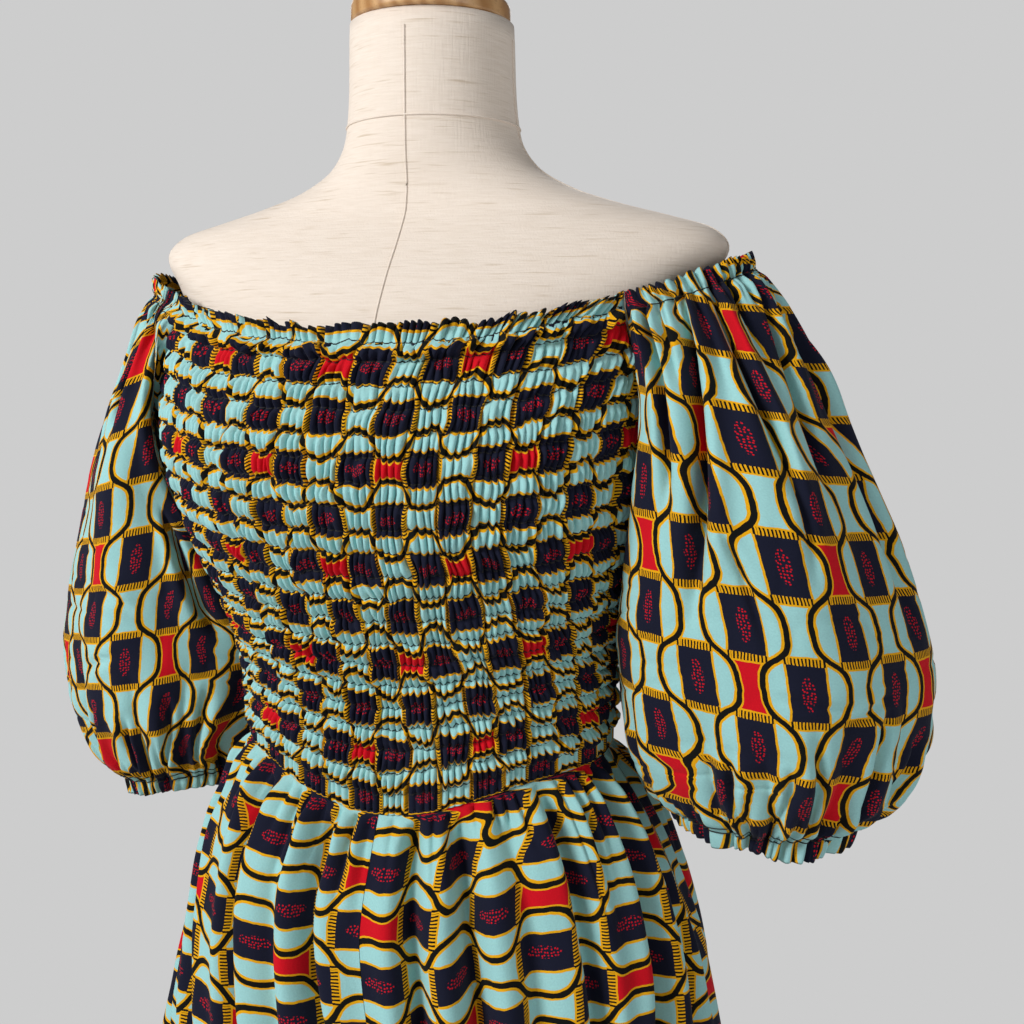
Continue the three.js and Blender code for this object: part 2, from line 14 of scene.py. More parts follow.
import bmesh
import bpy
import numpy as np
from mathutils import Matrix, Vector
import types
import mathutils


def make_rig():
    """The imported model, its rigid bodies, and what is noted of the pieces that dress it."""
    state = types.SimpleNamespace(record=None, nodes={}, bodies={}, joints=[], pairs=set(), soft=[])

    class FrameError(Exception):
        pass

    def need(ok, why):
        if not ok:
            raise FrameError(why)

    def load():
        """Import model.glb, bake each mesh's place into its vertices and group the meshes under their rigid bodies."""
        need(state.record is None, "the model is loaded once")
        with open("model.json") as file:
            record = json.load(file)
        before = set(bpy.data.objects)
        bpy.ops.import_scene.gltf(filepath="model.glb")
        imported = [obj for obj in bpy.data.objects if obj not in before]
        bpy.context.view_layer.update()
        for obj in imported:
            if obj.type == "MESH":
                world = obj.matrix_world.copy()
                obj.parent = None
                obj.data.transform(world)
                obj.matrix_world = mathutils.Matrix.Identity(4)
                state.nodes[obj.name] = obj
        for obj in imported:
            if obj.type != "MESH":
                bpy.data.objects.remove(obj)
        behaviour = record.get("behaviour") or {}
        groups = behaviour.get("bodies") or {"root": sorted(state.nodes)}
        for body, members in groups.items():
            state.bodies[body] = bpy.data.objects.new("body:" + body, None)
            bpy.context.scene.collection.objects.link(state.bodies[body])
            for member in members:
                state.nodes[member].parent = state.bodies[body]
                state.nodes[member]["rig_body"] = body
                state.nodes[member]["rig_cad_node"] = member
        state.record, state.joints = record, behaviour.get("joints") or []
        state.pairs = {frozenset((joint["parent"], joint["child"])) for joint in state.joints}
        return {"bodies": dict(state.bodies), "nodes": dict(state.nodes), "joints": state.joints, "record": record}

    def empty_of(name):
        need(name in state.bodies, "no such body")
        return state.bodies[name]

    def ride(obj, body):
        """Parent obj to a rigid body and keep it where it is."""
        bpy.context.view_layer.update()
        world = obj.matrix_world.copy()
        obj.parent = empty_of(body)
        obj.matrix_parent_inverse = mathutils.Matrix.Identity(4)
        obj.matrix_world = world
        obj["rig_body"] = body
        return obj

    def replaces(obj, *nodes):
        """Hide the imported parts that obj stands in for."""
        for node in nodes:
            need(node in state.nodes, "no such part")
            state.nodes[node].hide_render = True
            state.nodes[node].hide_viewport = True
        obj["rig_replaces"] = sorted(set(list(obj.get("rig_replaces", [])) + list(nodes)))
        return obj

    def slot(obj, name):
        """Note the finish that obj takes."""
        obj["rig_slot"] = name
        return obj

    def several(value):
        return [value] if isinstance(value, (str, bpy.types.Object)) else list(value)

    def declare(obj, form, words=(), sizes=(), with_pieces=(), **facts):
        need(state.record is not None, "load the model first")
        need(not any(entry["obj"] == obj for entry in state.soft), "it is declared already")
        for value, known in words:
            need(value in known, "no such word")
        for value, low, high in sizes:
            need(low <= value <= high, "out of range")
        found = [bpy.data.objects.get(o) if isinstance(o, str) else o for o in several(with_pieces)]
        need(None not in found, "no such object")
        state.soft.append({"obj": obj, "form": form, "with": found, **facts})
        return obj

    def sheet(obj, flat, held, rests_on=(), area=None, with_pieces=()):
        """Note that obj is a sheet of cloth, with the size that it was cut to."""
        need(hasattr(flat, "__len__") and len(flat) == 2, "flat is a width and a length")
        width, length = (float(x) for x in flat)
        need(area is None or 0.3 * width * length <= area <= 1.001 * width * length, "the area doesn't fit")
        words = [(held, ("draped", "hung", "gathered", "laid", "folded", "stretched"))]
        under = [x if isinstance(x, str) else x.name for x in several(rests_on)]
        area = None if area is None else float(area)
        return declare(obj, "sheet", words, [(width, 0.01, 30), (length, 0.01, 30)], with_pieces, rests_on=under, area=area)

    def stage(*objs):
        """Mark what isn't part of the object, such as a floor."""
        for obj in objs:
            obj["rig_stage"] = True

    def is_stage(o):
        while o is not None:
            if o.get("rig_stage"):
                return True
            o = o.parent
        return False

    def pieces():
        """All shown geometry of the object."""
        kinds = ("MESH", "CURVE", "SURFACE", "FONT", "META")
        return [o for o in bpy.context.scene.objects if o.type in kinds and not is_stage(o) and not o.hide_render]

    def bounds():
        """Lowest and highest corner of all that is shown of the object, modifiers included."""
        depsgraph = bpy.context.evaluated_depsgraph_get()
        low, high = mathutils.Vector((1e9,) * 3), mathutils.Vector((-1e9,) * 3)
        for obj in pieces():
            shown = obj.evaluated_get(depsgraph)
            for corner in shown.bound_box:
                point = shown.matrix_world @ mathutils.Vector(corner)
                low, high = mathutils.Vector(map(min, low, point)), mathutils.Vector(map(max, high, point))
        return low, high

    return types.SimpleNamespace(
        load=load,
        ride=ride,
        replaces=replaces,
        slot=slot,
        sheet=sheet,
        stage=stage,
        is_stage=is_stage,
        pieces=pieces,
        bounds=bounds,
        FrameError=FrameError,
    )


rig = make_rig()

Array = np.ndarray
Colour = tuple[float, float, float, float]

MM = 0.001
BODY = "root"
LOG = logging.getLogger("jumpsuit")


class Side(Enum):
    """The wearer's left or right, with the sign of its x."""

    LEFT = 1
    RIGHT = -1


class Face(Enum):
    """The front or back of the garment, with the sign of its y."""

    FRONT = -1
    BACK = 1


# --------------------------------------------------------------------------------------------------
# Sizes that pieces share
# --------------------------------------------------------------------------------------------------


def ease(value: Array | float) -> Array:
    """Goes smoothly from 0 to 1 as value does, and stays there."""
    held = np.clip(value, 0.0, 1.0)
    return held * held * (3.0 - 2.0 * held)


def mix(start: Array | float, end: Array | float, share: Array | float) -> Array:
    """Goes in a straight line from start to end."""
    return start + (end - start) * share


def bent(value: Array, power: Array | float) -> Array:
    """A sine or cosine bent so that the circle it makes becomes a rounded box."""
    return np.sign(value) * np.abs(value) ** (2.0 / power)


class Sections:
    """Sizes of a body at several heights, joined by smooth curves."""

    def __init__(self, names: str, *rows: tuple[float, ...]) -> None:
        """Keeps a short table.

        Args:
            names: the columns after the height, parted by spaces.
            rows: a height and the sizes there, for each section.
        """
        table = np.array(sorted(rows))
        self.heights = table[:, 0]
        self.sizes = {name: table[:, k + 1] for k, name in enumerate(names.split())}

    def at(self, name: str, height: Array | float) -> Array:
        """Gives one size.

        Args:
            name: the size's column.
            height: where, in millimetres above the floor.

        Returns:
            The size at each height, in millimetres.
        """
        knots, values = self.heights, self.sizes[name]
        last = len(knots) - 1
        before = np.maximum(np.arange(last + 1) - 1, 0)
        after = np.minimum(np.arange(last + 1) + 1, last)
        slopes = (values[after] - values[before]) / (knots[after] - knots[before])
        z = np.clip(height, knots[0], knots[-1])
        k = np.clip(np.searchsorted(knots, z, side="left") - 1, 0, last - 1)
        span = knots[k + 1] - knots[k]
        t = (z - knots[k]) / span
        return (
            values[k] * (2 * t**3 - 3 * t**2 + 1)
            + values[k + 1] * (3 * t**2 - 2 * t**3)
            + slopes[k] * span * (t**3 - 2 * t**2 + t)
            + slopes[k + 1] * span * (t**3 - t**2)
        )

    def oval(self, angle: Array, height: Array, out: Array | float = 0.0) -> Array:
        """Gives points of the rounded ovals.

        Args:
            angle: 0 at the wearer's left and a negative quarter turn at the front.
            height: of each point.
            out: how far outside the oval.

        Returns:
            Points, with x, y and z last.
        """
        power = self.at("power", height)
        x = self.at("lean", height) + (self.at("wide", height) + out) * bent(np.cos(angle), power)
        y = self.at("back", height) + (self.at("deep", height) + out) * bent(np.sin(angle), power)
        return np.stack(np.broadcast_arrays(x, y, height), axis=-1)


class Waves:
    """Smooth random waves between -1 and 1 that come out the same on each run."""

    def __init__(self, seed: int) -> None:
        """Draws the heights that the waves pass through."""
        self.heights = np.random.default_rng(seed).uniform(-1.0, 1.0, (128, 128))

    def at(self, x: Array, y: Array | float = 0.0, period: int = 128) -> Array:
        """Gives the waves' height, one wave for about two units.

        Args:
            x: place along the first way.
            y: place along the second way.
            period: the waves repeat after this many units of x.

        Returns:
            Heights of the same shape as the places.
        """
        x, y = np.broadcast_arrays(x, y)
        i, j = np.floor(x).astype(int), np.floor(y).astype(int)
        u, v = ease(x - i), ease(y - j)
        i0, i1, j0, j1 = i % period, (i + 1) % period, j % 128, (j + 1) % 128
        low = mix(self.heights[i0, j0], self.heights[i1, j0], u)
        high = mix(self.heights[i0, j1], self.heights[i1, j1], u)
        return mix(low, high, v)


@dataclass(frozen=True)
class Figure:
    """The general figure that the garment is cut for, and the lines where its pieces meet."""

    shoulder_z: float = 1366.0
    neck_centre_z: tuple[float, float] = (1317.0, 1328.0)
    neck_curve: float = 1.35
    waist_z: float = 1050.0
    waist_dip: tuple[float, float] = (24.0, 9.0)
    waist_half_width: float = 121.0
    underarm_z: float = 1256.0
    armhole_top: float = math.radians(42.0)
    armhole_curve: float = 1.4
    seam_gap: float = 0.3
    bodice: Sections = field(
        default_factory=lambda: Sections(
            "wide deep back lean power",
            (1000, 121, 92, 0, 0, 2.2),
            (1055, 119, 90, 0, 0, 2.2),
            (1100, 120, 94, -1, 0, 2.2),
            (1140, 127, 101, -4, -3, 2.2),
            (1180, 140, 108, -7, -7, 2.2),
            (1215, 151, 112, -9, -10, 2.25),
            (1255, 158, 112, -9, -10, 2.3),
            (1290, 162, 108, -6, -6, 2.3),
            (1320, 169, 101, -1, -3, 2.35),
            (1345, 182, 89, 4, 0, 2.4),
            (1366, 197, 76, 8, 0, 2.4),
            (1380, 200, 66, 9, 0, 2.4),
        )
    )
    legs: Sections = field(
        default_factory=lambda: Sections(
            "wide deep back lean apart",
            (1050, 121, 92, 0, 0, 0),
            (1030, 133, 103, 0, 2, 0),
            (990, 153, 119, 1, 5, 0),
            (930, 171, 131, 2, 9, 0),
            (870, 184, 139, 3, 9, 0),
            (800, 197, 145, 3, 8, 0),
            (745, 208, 147, 3, 6, 0),
            (620, 236, 150, 2, 3, 3),
            (420, 280, 157, 0, 0, 5),
            (220, 320, 164, 0, 0, 7),
            (60, 350, 170, 0, 0, 8),
        )
    )

    @staticmethod
    def from_side(angle: Array) -> Array:
        """The angle from the nearer side of the body."""
        return np.abs(np.arcsin(np.clip(np.abs(np.sin(angle)), 0.0, 1.0)))

    def of_face(self, sizes: tuple[float, float], angle: Array) -> Array:
        """Picks the front's or the back's size for each angle."""
        return np.where(np.sin(angle) < 0.0, sizes[0], sizes[1])

    def neck_z(self, angle: Array) -> Array:
        """Height of the neck edge at an angle round the body."""
        drop = self.shoulder_z - self.of_face(self.neck_centre_z, angle)
        return self.shoulder_z - drop * np.sin(self.from_side(angle)) ** self.neck_curve

    def waist_seam_z(self, x: Array, face: Face) -> Array:
        """Height of the waist seam at a distance to the side."""
        dip = self.waist_dip[0 if face is Face.FRONT else 1]
        return self.waist_z - dip * np.maximum(0.0, 1.0 - (x / self.waist_half_width) ** 2) ** 2.5

    def armhole_z(self, angle: Array) -> Array:
        """Gives the height of the armhole's edge.

        Args:
            angle: round the body.

        Returns:
            The height at each angle, in millimetres.
        """
        top = self.neck_z(np.where(np.sin(angle) < 0.0, -self.armhole_top, self.armhole_top))
        rise = (self.from_side(angle) / self.armhole_top) ** self.armhole_curve
        return self.underarm_z + (top - self.underarm_z) * rise


FIGURE = Figure()


# --------------------------------------------------------------------------------------------------
# Finishes
# --------------------------------------------------------------------------------------------------


def linear(code: str) -> Colour:
    """Turns an sRGB hex colour into the linear one that shaders take.

    Args:
        code: six hex digits, such as "8fc9c9".

    Returns:
        Red, green, blue and full opacity, from 0 to 1.
    """
    parts = [int(code[k : k + 2], 16) / 255.0 for k in (0, 2, 4)]
    lit = [c / 12.92 if c <= 0.04045 else ((c + 0.055) / 1.055) ** 2.4 for c in parts]
    return (lit[0], lit[1], lit[2], 1.0)


class Wire:
    """A number or colour that flows through a material's nodes. Its operators work on it."""

    def __init__(self, tree: bpy.types.NodeTree, socket: bpy.types.NodeSocket) -> None:
        """Holds the socket that it comes from."""
        self.tree = tree
        self.socket = socket

    def part(self, name: str) -> "Wire":
        """Another output of the same node."""
        return Wire(self.tree, self.socket.node.outputs[name])

    def into(self, shader: bpy.types.Node, name: str) -> None:
        """Feeds an input of the surface shader."""
        self.tree.links.new(self.socket, shader.inputs[name])

    def __add__(self, other: "Wire | float") -> "Wire":
        """Sum."""
        return add_node(self.tree, "ShaderNodeMath", self, other, operation="ADD")

    def __sub__(self, other: "Wire | float") -> "Wire":
        """Difference."""
        return add_node(self.tree, "ShaderNodeMath", self, other, operation="SUBTRACT")

    def __mul__(self, other: "Wire | float") -> "Wire":
        """Product."""
        return add_node(self.tree, "ShaderNodeMath", self, other, operation="MULTIPLY")

    def __truediv__(self, other: "Wire | float") -> "Wire":
        """Quotient."""
        return add_node(self.tree, "ShaderNodeMath", self, other, operation="DIVIDE")

    def __mod__(self, other: "Wire | float") -> "Wire":
        """Remainder, never negative."""
        return add_node(self.tree, "ShaderNodeMath", self, other, operation="FLOORED_MODULO")

    def __lt__(self, other: "Wire | float") -> "Wire":
        """1 where this number is less, otherwise 0."""
        return add_node(self.tree, "ShaderNodeMath", self, other, operation="LESS_THAN")

    def __gt__(self, other: "Wire | float") -> "Wire":
        """1 where this number is greater, otherwise 0."""
        return add_node(self.tree, "ShaderNodeMath", self, other, operation="GREATER_THAN")

    def __abs__(self) -> "Wire":
        """Size without sign."""
        return add_node(self.tree, "ShaderNodeMath", self, operation="ABSOLUTE")

    def __round__(self) -> "Wire":
        """Nearest whole number."""
        return add_node(self.tree, "ShaderNodeMath", self, operation="ROUND")

    def __floor__(self) -> "Wire":
        """Whole number below."""
        return add_node(self.tree, "ShaderNodeMath", self, operation="FLOOR")


def add_node(tree: bpy.types.NodeTree, kind: str, *fed: object, **settings: object) -> Wire:
    """Adds a node with its settings and links.

    Args:
        tree: the material's nodes.
        kind: the node's type.
        fed: a wire or a constant for each input that the settings leave in use, in order. None keeps
            the default.
        settings: attributes of the node.

    Returns:
        The node's first output in use.
    """
    node = tree.nodes.new(kind)
    for name, value in settings.items():
        setattr(node, name, value)
    for place, value in zip([socket for socket in node.inputs if socket.enabled], fed):
        if isinstance(value, Wire):
            tree.links.new(value.socket, place)
        elif value is not None:
            place.default_value = value
    return Wire(tree, next(socket for socket in node.outputs if socket.enabled))


def blank_material(name: str) -> tuple[bpy.types.Material, bpy.types.NodeTree, bpy.types.Node]:
    """Makes a material.

    Args:
        name: what it is called.

    Returns:
        The material, its nodes, and its surface shader.
    """
    material = bpy.data.materials.new(name)
    material.use_nodes = True
    return material, material.node_tree, material.node_tree.nodes["Principled BSDF"]


@dataclass(frozen=True)
class WaxPrintedCotton:
    """Plain-woven cotton, resist dyed and printed on both sides.

    The eye sees flat, saturated dyes with crisp black resist lines, a matte hand and a faint dry grain.
    The cloth's UV map is its flat cut in metres: first across the print's columns and then along them.
    """

    column_mm: float = 31.0
    repeat_mm: float = 72.0
    narrowest: float = 0.22
    steepness: float = 1.7
    line_mm: float = 1.55
    edge_mm: float = 1.6
    block_edge_mm: float = 1.0
    bar_half_mm: tuple[float, float] = (10.3, 16.4)
    bar_edge_mm: float = 1.4
    comb_half_mm: float = 8.8
    comb_mm: float = 4.3
    comb_edge_mm: float = 1.1
    tick_mm: float = 1.9
    tick_share: float = 0.5
    stem_mm: float = 0.6
    stem_end_mm: float = 23.0
    flecks_half_mm: tuple[float, float] = (3.7, 10.2)
    fleck_mm: float = 1.9
    fleck_size: float = 0.27
    sway_mm: float = 1.2
    ground: str = "9ccfcf"
    bar: str = "14172a"
    black: str = "0c0d0b"
    gold: str = "e6a60c"
    red: str = "cb0b1e"
    thread_mm: float = 0.8  # real threads lie 0.35 mm apart, drawn coarser so that the weave shows
    roughness: float = 0.88
    ior: float = 1.46
    specular: float = 0.18
    sheen: float = 0.04
    sheen_roughness: float = 0.4

    def build(self) -> bpy.types.Material:
        """Makes the material.

        Returns:
            The printed cotton.
        """
        material, tree, shader = blank_material("wax_printed_cotton")
        cut = add_node(tree, "ShaderNodeUVMap", uv_map="flat_cut")
        flat = add_node(tree, "ShaderNodeVectorMath", cut, (1000.0,) * 3, operation="MULTIPLY")
        uneven = add_node(tree, "ShaderNodeTexNoise", flat, 0.16, 1.0)
        sway = add_node(tree, "ShaderNodeSeparateXYZ", uneven.part("Color"))
        place = add_node(tree, "ShaderNodeSeparateXYZ", flat)
        across = place.part("X") + (sway.part("X") - 0.5) * self.sway_mm
        along = place.part("Y") + (sway.part("Y") - 0.5) * self.sway_mm
        colour = self.print_colour(tree, across / self.column_mm, along / self.repeat_mm)
        self.dye(tree, flat, colour).into(shader, "Base Color")
        self.weave(tree, flat, place).into(shader, "Normal")
        shader.inputs["Roughness"].default_value = self.roughness
        shader.inputs["IOR"].default_value = self.ior
        shader.inputs["Specular IOR Level"].default_value = self.specular
        shader.inputs["Sheen Weight"].default_value = self.sheen
        shader.inputs["Sheen Roughness"].default_value = self.sheen_roughness
        return material

    def wavy_line(self, tree: bpy.types.NodeTree, place: Wire) -> tuple[Wire, Wire]:
        """Works out the wavy line between two columns.

        Args:
            tree: the material's nodes.
            place: repeats from the middle of the nearest bar.

        Returns:
            How far the line lies from the column's middle, in columns, and the cosine of its lean.
        """
        reach = (0.5 - self.narrowest) / math.tanh(self.steepness)
        cosine = add_node(tree, "ShaderNodeMath", place * math.tau, operation="COSINE")
        sine = add_node(tree, "ShaderNodeMath", place * math.tau, operation="SINE")
        bend = add_node(tree, "ShaderNodeMath", cosine * self.steepness, operation="TANH")
        steepest = reach * self.steepness * math.tau * self.column_mm / self.repeat_mm
        slope = (bend * bend * -1.0 + 1.0) * sine * steepest
        lean = add_node(tree, "ShaderNodeMath", slope * slope + 1.0, operation="INVERSE_SQRT")
        return bend * reach + 0.5, lean

    def print_colour(self, tree: bpy.types.NodeTree, across: Wire, along: Wire) -> Wire:
        """Draws the print.

        It has columns of bars with combed ends, each in a cell with wavy sides, and waisted blocks between
        them.

        Args:
            tree: the material's nodes.
            across: columns across the cloth.
            along: repeats along the cloth.

        Returns:
            The print's colour.
        """
        nearest = round(across)
        aside = across - nearest
        steps = along + nearest % 2.0 * 0.5
        line, lean = self.wavy_line(tree, steps - round(steps))
        from_line = abs(abs(aside) - line) * lean * self.column_mm
        toward = add_node(tree, "ShaderNodeMath", aside, operation="SIGN")
        column = nearest + (abs(aside) > line) * toward
        steps = along + column % 2.0 * 0.5
        x = (across - column) * self.column_mm
        y = (steps - round(steps)) * self.repeat_mm
        off_x, off_y = abs(x), abs(y)
        bar_x, bar_y = self.bar_half_mm
        comb_end = bar_y + self.comb_mm
        at_end = off_y > bar_y
        from_stem = abs(off_x - bar_x)
        by_block = off_y > self.repeat_mm / 4.0
        edge = by_block * (self.block_edge_mm - self.edge_mm) + (self.line_mm + self.edge_mm)
        tick = add_node(tree, "ShaderNodeMath", x / self.tick_mm, operation="FRACT") < self.tick_share
        spot = add_node(tree, "ShaderNodeCombineXYZ", x + column * 7.3, y, 0.0)
        pitch = 1.0 / self.fleck_mm
        speck = add_node(
            tree, "ShaderNodeTexVoronoi", spot, pitch, 0.0, 0.5, 2.0, 0.5, voronoi_dimensions="2D"
        )
        oval_x, oval_y = x / self.flecks_half_mm[0], y / self.flecks_half_mm[1]
        in_flecks = oval_x * oval_x + oval_y * oval_y < 1.0
        in_red = (column % 2.0 < 0.5) * ((column * 0.5 + math.floor(steps)) % 2.0 < 0.5)
        coloured = (
            ((off_y > comb_end) * (off_x < bar_x) * in_red, self.red),
            (at_end * (off_x < bar_x) * (off_y < comb_end + self.comb_edge_mm), self.gold),
            (
                at_end * (from_stem < self.stem_mm + self.block_edge_mm) * (off_y < self.stem_end_mm),
                self.gold,
            ),
            ((off_x < bar_x + self.bar_edge_mm) * (off_y < bar_y), self.gold),
            (from_line < edge, self.gold),
            (at_end * (from_stem < self.stem_mm) * (off_y < self.stem_end_mm), self.black),
            (at_end * (off_x < self.comb_half_mm) * (off_y < comb_end) * tick, self.black),
            ((off_x < bar_x) * (off_y < bar_y), self.bar),
            ((speck < self.fleck_size) * in_flecks, self.red),
            (from_line < self.line_mm, self.black),
        )
        colour: Wire | Colour = linear(self.ground)
        for share, dye in coloured:
            colour = add_node(tree, "ShaderNodeMix", share, colour, linear(dye), data_type="RGBA")
        return colour

    def dye(self, tree: bpy.types.NodeTree, flat: Wire, colour: Wire) -> Wire:
        """Lets the dye take unevenly.

        Args:
            tree: the material's nodes.
            flat: the place on the flat cut, in millimetres.
            colour: the print's colour.

        Returns:
            The dyed colour.
        """
        mottle = add_node(tree, "ShaderNodeTexNoise", flat, 0.9, 3.0)
        shade = mottle * 0.26 + 0.87
        grey = add_node(tree, "ShaderNodeCombineColor", shade, shade, shade)
        return add_node(tree, "ShaderNodeMix", 1.0, colour, grey, data_type="RGBA", blend_type="MULTIPLY")

    def weave(self, tree: bpy.types.NodeTree, flat: Wire, place: Wire) -> Wire:
        """Raises the plain weave and a dry, uneven hand.

        Args:
            tree: the material's nodes.
            flat: the place on the flat cut, in millimetres.
            place: its parts.

        Returns:
            The surface's normal.
        """
        turn = math.tau / self.thread_mm
        warp = add_node(tree, "ShaderNodeMath", place.part("X") * turn, operation="SINE")
        weft = add_node(tree, "ShaderNodeMath", place.part("Y") * turn, operation="SINE")
        uneven = add_node(tree, "ShaderNodeTexNoise", flat, 0.5, 4.0)
        return add_node(tree, "ShaderNodeBump", 0.35, 0.0006, None, warp * weft * 0.25 + uneven)


@dataclass(frozen=True)
class ElasticThread:
    """Black covered elastic, machine sewn: a fine dark cord with a soft, fibrous surface."""

    colour: str = "141312"
    worn: str = "2b2927"
    roughness: float = 0.8

    def build(self) -> bpy.types.Material:
        """Makes the material.

        Returns:
            The covered elastic.
        """
        material, tree, shader = blank_material("black_elastic_thread")
        place = add_node(tree, "ShaderNodeTexCoord").part("Object")
        fibres = add_node(tree, "ShaderNodeTexNoise", place, 900.0, 2.0)
        dyes = linear(self.colour), linear(self.worn)
        add_node(tree, "ShaderNodeMix", fibres, *dyes, data_type="RGBA").into(shader, "Base Color")
        shader.inputs["Roughness"].default_value = self.roughness
        return material


@dataclass(frozen=True)
class LinenCover:
    """Natural linen stretched over a moulded torso: pale flax with fine threads and darker slubs."""

    pale: str = "eee2d6"
    flax: str = "ddcebe"
    slub: str = "bda98f"
    thread_mm: float = 1.1  # real threads lie 0.6 mm apart, drawn coarser so that they show
    slub_mm: float = 1.4
    roughness: float = 0.9
    specular: float = 0.25
    sheen: float = 0.15

    def build(self) -> bpy.types.Material:
        """Makes the material.

        Returns:
            The linen.
        """
        material, tree, shader = blank_material("linen_cover")
        place = add_node(tree, "ShaderNodeTexCoord").part("Object")
        fine, long = 1.0 / (self.thread_mm * MM), 70.0
        level = add_node(tree, "ShaderNodeVectorMath", place, (long, long, fine), operation="MULTIPLY")
        upright = add_node(tree, "ShaderNodeVectorMath", place, (fine, fine, long), operation="MULTIPLY")
        stretch = (38.0, 38.0, 1.0 / (self.slub_mm * MM))
        thick = add_node(tree, "ShaderNodeVectorMath", place, stretch, operation="MULTIPLY")
        weft = add_node(tree, "ShaderNodeTexNoise", level, 1.0, 3.0)
        warp = add_node(tree, "ShaderNodeTexNoise", upright, 1.0, 2.0)
        slubs = (add_node(tree, "ShaderNodeTexNoise", thick, 1.0, 1.0) - 0.63) * 3.2
        rare = add_node(tree, "ShaderNodeClamp", slubs, 0.0, 0.6)
        flaxes = linear(self.pale), linear(self.flax)
        colour = add_node(tree, "ShaderNodeMix", weft, *flaxes, data_type="RGBA")
        colour = add_node(tree, "ShaderNodeMix", rare, colour, linear(self.slub), data_type="RGBA")
        colour.into(shader, "Base Color")
        bump = add_node(tree, "ShaderNodeBump", 0.5, 0.0006, None, weft + warp * 0.7 + rare * 0.4)
        bump.into(shader, "Normal")
        shader.inputs["Roughness"].default_value = self.roughness
        shader.inputs["Specular IOR Level"].default_value = self.specular
        shader.inputs["Sheen Weight"].default_value = self.sheen
        return material


@dataclass(frozen=True)
class VarnishedBeech:
    """Turned beech under satin varnish: warm wood with fine rings and short dark flecks."""

    pale: str = "c99d6a"
    dark: str = "a87845"
    fleck: str = "7c5530"
    ring_mm: float = 5.0
    roughness: float = 0.38
    varnish: float = 0.35
    varnish_roughness: float = 0.2

    def build(self) -> bpy.types.Material:
        """Makes the material.

        Returns:
            The varnished wood.
        """
        material, tree, shader = blank_material("varnished_beech")
        place = add_node(tree, "ShaderNodeTexCoord").part("Object")
        rings = 1.0 / (self.ring_mm * MM * 6.0)
        grain = add_node(tree, "ShaderNodeTexWave", place, rings, 5.0, 3.0, bands_direction="X").part("Fac")
        woods = linear(self.pale), linear(self.dark)
        colour = add_node(tree, "ShaderNodeMix", grain, *woods, data_type="RGBA")
        long = add_node(tree, "ShaderNodeVectorMath", place, (900.0, 160.0, 900.0), operation="MULTIPLY")
        flecks = (add_node(tree, "ShaderNodeTexNoise", long, 1.0, 2.0) - 0.58) * 2.5
        rare = add_node(tree, "ShaderNodeClamp", flecks, 0.0, 1.0)
        colour = add_node(tree, "ShaderNodeMix", rare, colour, linear(self.fleck), data_type="RGBA")
        colour.into(shader, "Base Color")
        shader.inputs["Roughness"].default_value = self.roughness
        shader.inputs["Coat Weight"].default_value = self.varnish
        shader.inputs["Coat Roughness"].default_value = self.varnish_roughness
        return material


@dataclass(frozen=True)
class PowderCoatedSteel:
    """Steel plate and tube under ivory powder coat: satin, with the faint orange peel of baked powder."""

    colour: str = "e6e2da"
    scuffed: str = "bdb6aa"
    peel_mm: float = 1.6
    roughness: float = 0.32
    scuffed_rougher: float = 0.2

    def build(self) -> bpy.types.Material:
        """Makes the material.

        Returns:
            The coated steel.
        """
        material, tree, shader = blank_material("powder_coated_steel")
        place = add_node(tree, "ShaderNodeTexCoord").part("Object")
        peel = add_node(tree, "ShaderNodeTexNoise", place, 1.0 / (self.peel_mm * MM), 1.0)
        scuffs = add_node(tree, "ShaderNodeTexNoise", place, 22.0, 6.0)
        worn = add_node(tree, "ShaderNodeClamp", (scuffs - 0.55) * 0.9, 0.0, 1.0)
        coats = linear(self.colour), linear(self.scuffed)
        add_node(tree, "ShaderNodeMix", worn, *coats, data_type="RGBA").into(shader, "Base Color")
        (scuffs * self.scuffed_rougher + self.roughness).into(shader, "Roughness")
        add_node(tree, "ShaderNodeBump", 0.12, 0.0004, None, peel).into(shader, "Normal")
        return material


@dataclass(frozen=True)
class StudioFloor:
    """Seamless pale paper: matte and even near the stand, and as bright as the studio's walls far off."""

    paper: str = "d4d4d4"
    grain: str = "cfcfcf"
    lit_near: float = 0.7
    lit_far: float = 1.35

    def build(self, walls: Colour) -> bpy.types.Material:
        """Makes the material.

        Args:
            walls: the colour of the studio's walls, which the floor takes far off.

        Returns:
            The paper.
        """
        material, tree, shader = blank_material("pale_paper_floor")
        place = add_node(tree, "ShaderNodeTexCoord").part("Object")
        fibre = add_node(tree, "ShaderNodeTexNoise", place, 40.0, 3.0)
        papers = linear(self.paper), linear(self.grain)
        add_node(tree, "ShaderNodeMix", fibre, *papers, data_type="RGBA").into(shader, "Base Color")
        shader.inputs["Roughness"].default_value = 1.0
        shader.inputs["Specular IOR Level"].default_value = 0.0
        away = add_node(tree, "ShaderNodeVectorMath", place, operation="LENGTH")
        far = add_node(tree, "ShaderNodeMapRange", away, self.lit_near, self.lit_far, 0.0, 1.0)
        glow = add_node(tree, "ShaderNodeEmission", walls, 1.0)
        surface = add_node(tree, "ShaderNodeMixShader", far, Wire(tree, shader.outputs[0]), glow)
        tree.links.new(surface.socket, tree.nodes["Material Output"].inputs["Surface"])
        return material


# --------------------------------------------------------------------------------------------------
# Meshes
# --------------------------------------------------------------------------------------------------


